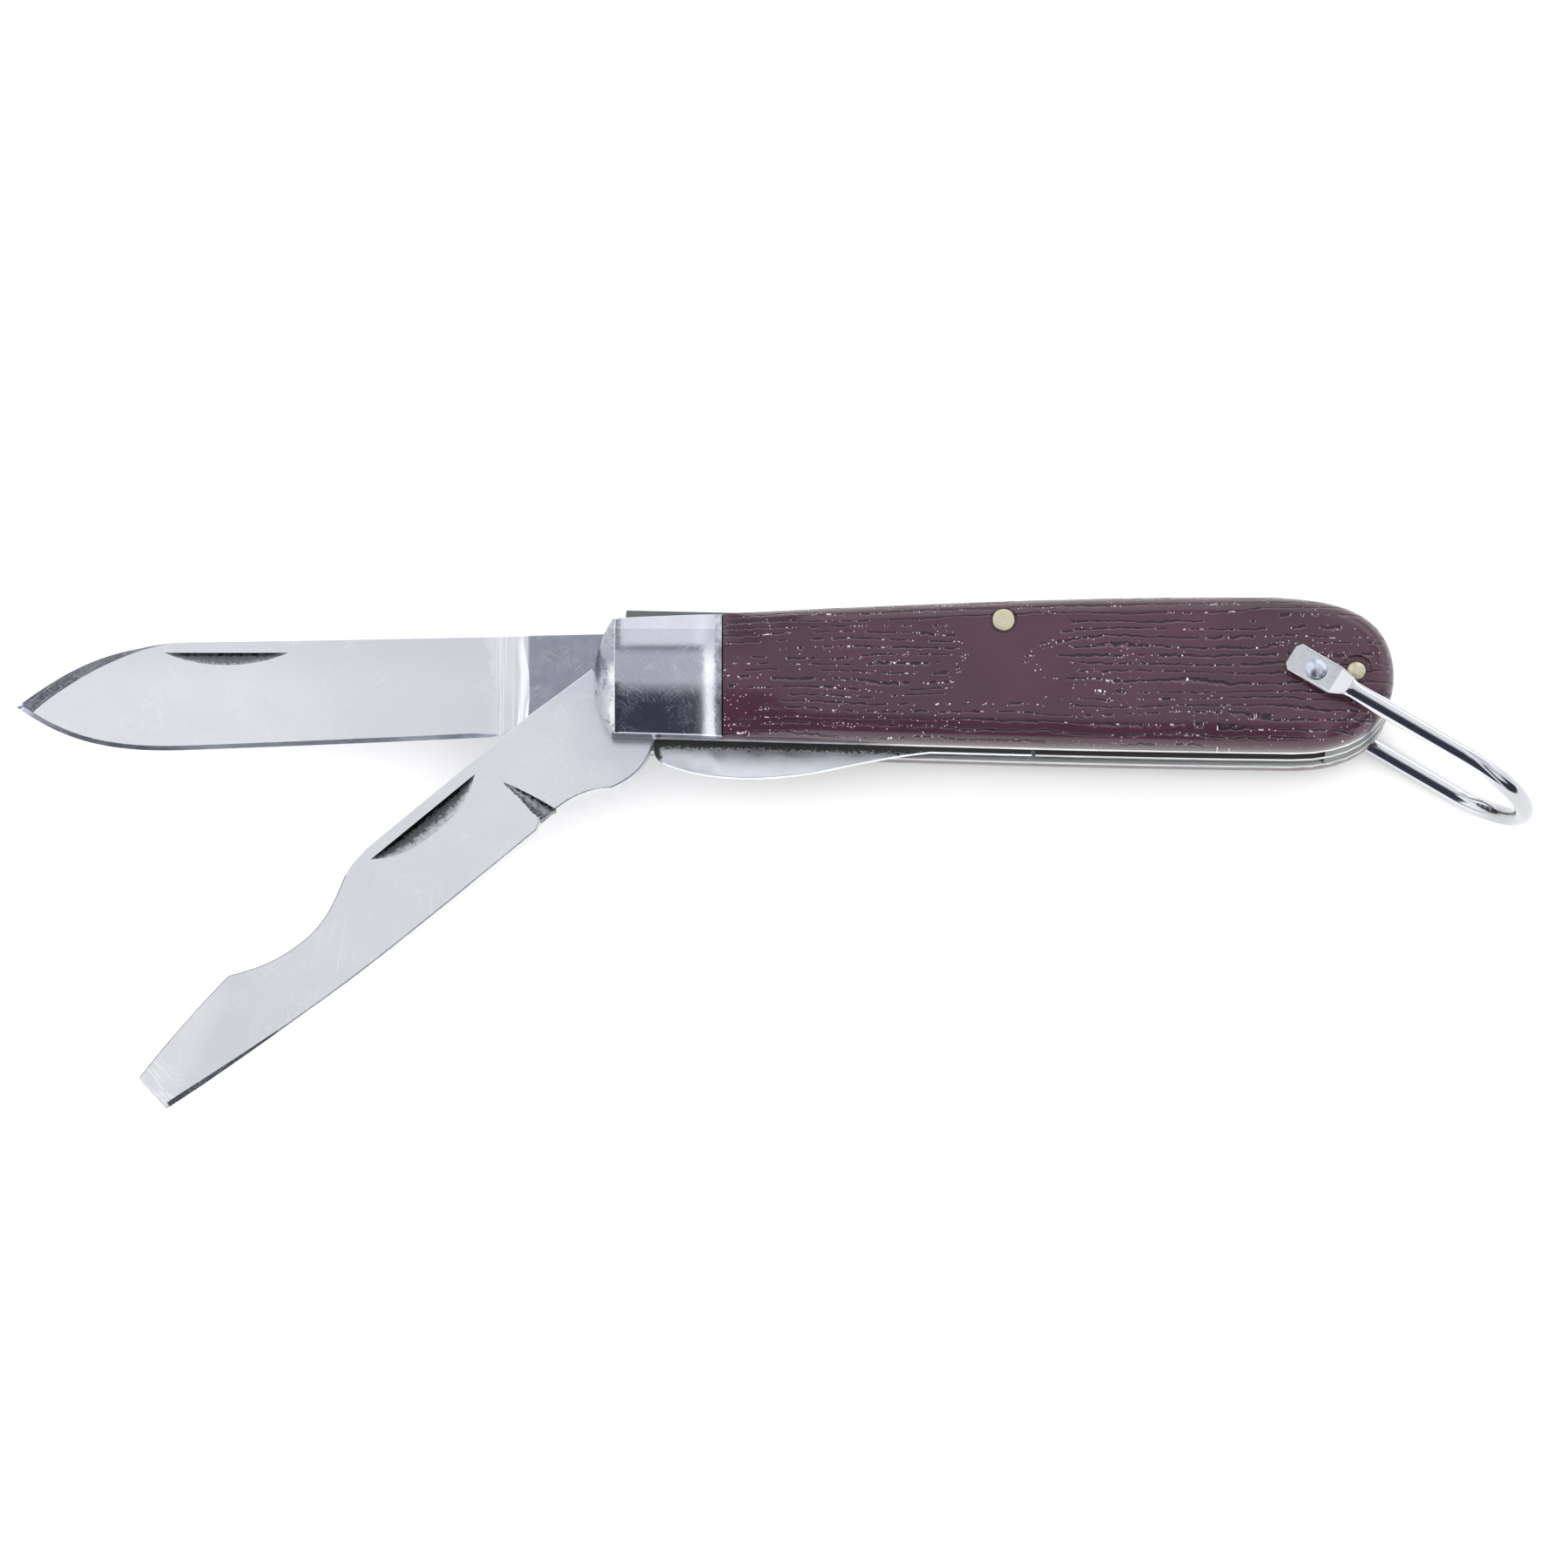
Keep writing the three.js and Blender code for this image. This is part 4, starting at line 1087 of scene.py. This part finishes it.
def driver_height(points):
    """Half thickness: even, thinner toward the tip, with a facet above the ridge, the nick and the gouge."""
    x, y = points[:, 0], points[:, 1]
    level = BLADE_HALF - 0.65 * np.clip((-57 - x) / 19.6, 0, 1)
    above = np.clip(y - np.interp(x, *zip(*sorted(TIP_RIDGE))), 0, None)
    level -= 0.045 * above * np.clip((-60.5 - x) / 3, 0, 1)
    level -= nick_depth(points, DRIVER_NICK, 0.7)
    gouge_x, gouge_y = zip(*GOUGE_RIGHT[::-1])
    short = np.interp(y, gouge_y, gouge_x) - x
    span = np.clip((GOUGE_TOP_Y - y) / 7.0, 0, 1)
    inward = short / (0.25 + 2.35 * span)
    live = (inward > -0.01) & (inward < 1) & (y < GOUGE_TOP_Y)
    depth = 0.75 * span ** 0.8 * np.clip(1 - inward, 0, 1) ** 1.5 * np.clip(short / 0.12, 0, 1)
    return level - np.where(live, depth, 0)


driver_shape = driver_outline()
driver_x, driver_y = driver_shape.T
low_side = (driver_y < 0) & (driver_x < -55) & (driver_x > -76.3)
upper_side = (driver_y > 3.0) & (driver_x < -38)
growth = np.clip((-58 - driver_x) / 16, 0, 1)
driver_edge_width = np.where(low_side, 0.12 + 0.42 * growth, 0.12)
driver_edge_width = np.where((driver_x < -76.4) & ~low_side, 0.05, driver_edge_width)
driver_edge_half = driver_height(driver_shape) - 0.12 - np.where(low_side, 0.5 * growth, 0)
driver_edge_half = np.maximum(driver_edge_half, 0.08)
driver_nick_line = nick_outline(*DRIVER_NICK)
driver_points, driver_faces = blade_mesh(
    driver_shape, driver_edge_width, driver_edge_half, driver_height,
    [(driver_nick_line, True), (polyline(TIP_RIDGE, 0.6)[1:-1], False), (polyline(GOUGE_RIGHT, 0.3), False)],
    [(driver_nick_line, 0.28), (GOUGE_BOX, 0.25)],
)


# Bevel faces painted dark with the edge look, as painted dark reflection: the lower bevel toward the tip and
# the upper edges.
def driver_edge_faces(middles):
    x, y, z = middles[:, 0], middles[:, 1], np.abs(middles[:, 2])
    low = (distance_to(middles[:, :2], driver_shape[low_side]) < 0.35) & (y < -0.5) & (z > 0.12)
    high = (distance_to(middles[:, :2], driver_shape[upper_side]) < 0.09) & (x < -42) & (z > 0.1)
    return low & (x < -60.5) & (x > -76.1) | high


driver_place = Matrix.Translation((0, 0, JOINT_AT["screwdriver_pivot"][2] * MM))
driver_place = driver_place @ Matrix.Rotation(DRIVER_REST_ANGLE, 4, "Z")
make_piece(
    "screwdriver_blade_ground", "screwdriver_blade", driver_points, driver_faces,
    [driver_look, driver_nick_look, gouge_look, painted_dark_edge_look], 9,
    kinds_of(driver_points, driver_faces, [driver_nick_line, GOUGE_ZONE], driver_edge_faces),
    driver_place,
)


# ---------------------------------------------------------------- liners, springs and leaf

refined("rear_liner", "rear_liner_sheet", rear_liner_look, 0.06)
refined("front_liner", "front_liner_sheet", front_liner_look, 0.06)
refined("centre_liner", "centre_liner_sheet", centre_liner_look, 0.06)
refined("lock_leaf", "lock_leaf_sheet", leaf_look, 0.12)
for spring_part in ("driver_spring_heel", "driver_spring_arm", "spear_spring_heel", "spear_spring_arm"):
    refined(spring_part, spring_part + "_bar", spring_look, 0.1)


# ---------------------------------------------------------------- pins

def both_ends(half_profile):
    """A profile that is the same at its other end."""
    return half_profile + [(r, HANDLE_THICK - z) for r, z in half_profile[::-1]]


PIN_SHOULDER = [(1.4, 1.35), (0.95, 1.35)]
FLUSH_HEAD = [(0, 0.12), (0.6, 0.125), (1.0, 0.145), (1.25, 0.19), (1.38, 0.3), (1.4, 0.42), *PIN_SHOULDER]
ROUND_HEAD = [
    (0, 0.0), (0.35, 0.02), (0.7, 0.09), (1.0, 0.22), (1.2, 0.38), (1.33, 0.6), (1.4, 0.9), *PIN_SHOULDER,
]
SHANK_END = [(0, 1.3), (1.5, 1.3), (1.6, 1.4)]
SEAT = -1.45
shackle_head = [(0.13 * k, SEAT - 0.75 + 0.62 * (0.1 * k) ** 2.1) for k in range(10)]
shackle_head += [(1.3, SEAT - 0.08), (1.3, SEAT), (1.0, SEAT)]
bail_pin_at = JOINT_AT["shackle_swing"][:2]

lathe("pivot_pin_shank", "pivot_pin", both_ends(SHANK_END), (0, 0), spring_look)
lathe("centre_pin_brass", "centre_pin", both_ends(FLUSH_HEAD), CENTRE_PIN, brass_look)
lathe("butt_pin_brass", "butt_pin", both_ends(ROUND_HEAD), BUTT_PIN, brass_look)
lathe("shackle_pin_steel", "bail_pin", both_ends(shackle_head), bail_pin_at, pin_look)


# ---------------------------------------------------------------- shackle

def wire_section(half_width, low, high, corner):
    """A rounded rectangle, or a circle where corner is 1, as its offsets across and up."""
    mid, half_height = (low + high) / 2, (high - low) / 2
    turn = (np.arange(WIRE_SIDES) + 0.5) * 2 * math.pi / WIRE_SIDES
    across = np.sign(np.cos(turn)) * np.abs(np.cos(turn)) ** corner * half_width
    up = np.sign(np.sin(turn)) * np.abs(np.sin(turn)) ** corner * half_height + mid
    return list(zip(across, up))


def shackle_mesh():
    """Sections along the wire, from one flattened end round the bend to the other."""
    low = HANDLE_THICK / 2 + BAIL_GAP
    high = low + FLAT_THICK
    wire_low, wire_high = BEND_RADIUS - WIRE_RADIUS, BEND_RADIUS + WIRE_RADIUS
    neck = 5.1
    square, half_round, nearly_round, full_round = 0.16, 0.3, 0.6, 1.0
    ends = [
        (-3.5, FLAT_HALF - 0.72, low + 0.12, high - 0.12, square),
        (-3.42, FLAT_HALF - 0.6, low, high, square),
        (-2.9, FLAT_HALF, low, high, square),
        (2.7, FLAT_HALF - 0.02, low, high, square),
        (2.78, FLAT_HALF - 0.05, low, high + 0.03, square),
        (4.45, 1.32, wire_low, wire_high - 0.16, half_round),
        (4.6, 1.22, wire_low, wire_high - 0.05, nearly_round),
    ]
    ends += [(s, WIRE_RADIUS, wire_low, wire_high, full_round) for s in np.linspace(neck, BEND_START, 16)]
    arm = [[(s, a, u) for a, u in wire_section(*section)] for s, *section in ends]
    rows = list(arm)
    for turn in np.linspace(0, math.pi, 49)[1:-1]:
        out, up = math.sin(turn), math.cos(turn)
        bend = wire_section(WIRE_RADIUS, wire_low, wire_high, full_round)
        rows.append([(BEND_START + out * u, a, up * u) for a, u in bend])
    rows += [[(s, a, -u) for s, a, u in row] for row in arm[::-1]]
    rings = [range(k * WIRE_SIDES, (k + 1) * WIRE_SIDES) for k in range(len(rows))]
    faces = [tuple(rings[0][::-1]), tuple(rings[-1])]
    for ring, ahead in zip(rings, rings[1:]):
        faces += band(ring, ahead)
    return [p for row in rows for p in row], faces


shackle_place = Matrix.Translation(Vector((*bail_pin_at, HANDLE_THICK / 2)) * MM)
shackle_place = shackle_place @ Matrix.Rotation(BAIL_REST_ANGLE, 4, "Z")
make_piece("shackle_wire", "bail", *shackle_mesh(), [wire_look], 22, None, shackle_place)


# ---------------------------------------------------------------- floor and lamps

FLOOR_Z = -2.6
FLOOR_HALF = 6000

floor_mesh = bpy.data.meshes.new("floor")
floor_corners = [(x * FLOOR_HALF, y * FLOOR_HALF) for x, y in ((-1, -1), (1, -1), (1, 1), (-1, 1))]
floor_mesh.from_pydata([(x * MM, y * MM, FLOOR_Z * MM) for x, y in floor_corners], [], [(0, 1, 2, 3)])
floor_look = Look("floor_paper", 0.0, 0.9)
floor_look.use(Base_Color=floor_look.blend(floor_look.noise(0.02), (0.84, 0.84, 0.84), (0.86, 0.86, 0.86)))
floor_mesh.materials.append(floor_look.material)
floor = bpy.data.objects.new("floor", floor_mesh)
bpy.context.scene.collection.objects.link(floor)


def soft_light(name, place, size, power):
    """A large lamp that shines on the knife and doesn't show in reflections."""
    lamp = bpy.data.lights.new(name, "AREA")
    lamp.shape = "RECTANGLE"
    lamp.size, lamp.size_y = size
    lamp.energy = power
    made = bpy.data.objects.new(name, lamp)
    bpy.context.scene.collection.objects.link(made)
    made.location = place
    made.rotation_euler = (Vector((0.01, 0, 0)) - Vector(place)).to_track_quat("-Z", "Y").to_euler()
    made.visible_glossy = False
    made.visible_camera = False


soft_light("overhead", (0.1, 0.2, 1.6), (2.6, 2.6), 14)
soft_light("front_fill", (0.0, -1.4, 0.9), (2.2, 1.4), 5)


# ---------------------------------------------------------------- room

# The room as the metal reflects it. Each stop is an angle from straight up, toward +Y, and a colour: dark on
# the near side, white overhead, a grey gap and then a bright band behind.
ROOM = (
    (-100, (0.10, 0.105, 0.13)), (-75, (0.055, 0.065, 0.095)), (-20, (0.07, 0.08, 0.12)),
    (-10, (0.64, 0.65, 0.71)), (0, (0.94, 0.95, 0.975)), (22, (0.96, 0.975, 1.02)), (40, (0.7, 0.73, 0.83)),
    (43, (0.36, 0.37, 0.43)), (46, (0.36, 0.37, 0.43)), (49, (1.85, 1.87, 1.9)), (78, (1.85, 1.85, 1.85)),
    (86, (0.3, 0.31, 0.34)), (100, (0.2, 0.2, 0.22)),
)
# Screens and curtains, each as (least x, greatest x, soft border in x, least angle, greatest angle, border).
SCREENS = (
    (-0.80, -0.24, 0.06, -14.0, 80.0, 6.0), (-1.2, -0.66, 0.06, -80.0, 16.0, 6.0),
    (0.42, 0.82, 0.06, -58.0, -12.0, 8.0), (0.72, 1.2, 0.06, -5.0, 60.0, 8.0),
)
BACK_CURTAIN = (-0.6, -0.038, 0.02, 45.0, 110.0, 4.0)
NEAR_CURTAIN = (-0.55, -0.075, 0.025, -60.0, 8.0, 5.0)

scene = bpy.context.scene
world = bpy.data.worlds.new("studio")
scene.world = world
world.use_nodes = True
world.node_tree.nodes.clear()
room = Nodes(world.node_tree)
direction_x, direction_y, direction_z = room.split(room.node("ShaderNodeTexCoord", {}).outputs["Generated"])
angle_up = room.math("ARCTAN2", direction_y, direction_z) * (180 / math.pi)


def hung(low_x, high_x, soft_x, low_angle, high_angle, soft_angle):
    """1 where a screen or curtain hangs."""
    return direction_x.window(low_x, high_x, soft_x) * angle_up.window(low_angle, high_angle, soft_angle)


first_angle, last_angle = ROOM[0][0], ROOM[-1][0]
room_span = last_angle - first_angle
shade = room.colours(
    angle_up.ramp(first_angle, last_angle),
    [((angle - first_angle) / room_span, colour) for angle, colour in ROOM],
)
shade = room.blend(hung(*BACK_CURTAIN), shade, (0.33, 0.345, 0.39))
shade = room.blend(hung(*NEAR_CURTAIN), shade, (0.05, 0.055, 0.075))
bright = direction_x.window(0.09, 0.30, 0.05)
for screen in SCREENS:
    bright = bright.at_least(hung(*screen))
shade = room.blend(bright, shade, (1.35, 1.35, 1.36))
rays = room.node("ShaderNodeLightPath", {}).outputs
shade = room.blend(rays["Is Diffuse Ray"], shade, (1.6, 1.6, 1.6))
shade = room.blend(rays["Is Camera Ray"], shade, (0.93, 0.93, 0.93))
background = room.node("ShaderNodeBackground", {"Color": shade, "Strength": 1.0}).outputs[0]
room.node("ShaderNodeOutputWorld", {"Surface": background})


# ---------------------------------------------------------------- camera

TILT = math.radians(15.3)
LOOK_AT = Vector((16.0, -11.7, 11.0)) * MM
DISTANCE = 1.2

camera_data = bpy.data.cameras.new("camera")
camera_data.lens = 231.6
camera_data.sensor_width = 36
camera_data.clip_start = 0.05
camera_data.clip_end = 50
camera = bpy.data.objects.new("camera", camera_data)
scene.collection.objects.link(camera)
camera.location = LOOK_AT + Vector((0, -math.sin(TILT), math.cos(TILT))) * DISTANCE
camera.rotation_euler = (TILT, 0, 0)
scene.camera = camera
scene.view_settings.view_transform = "Standard"
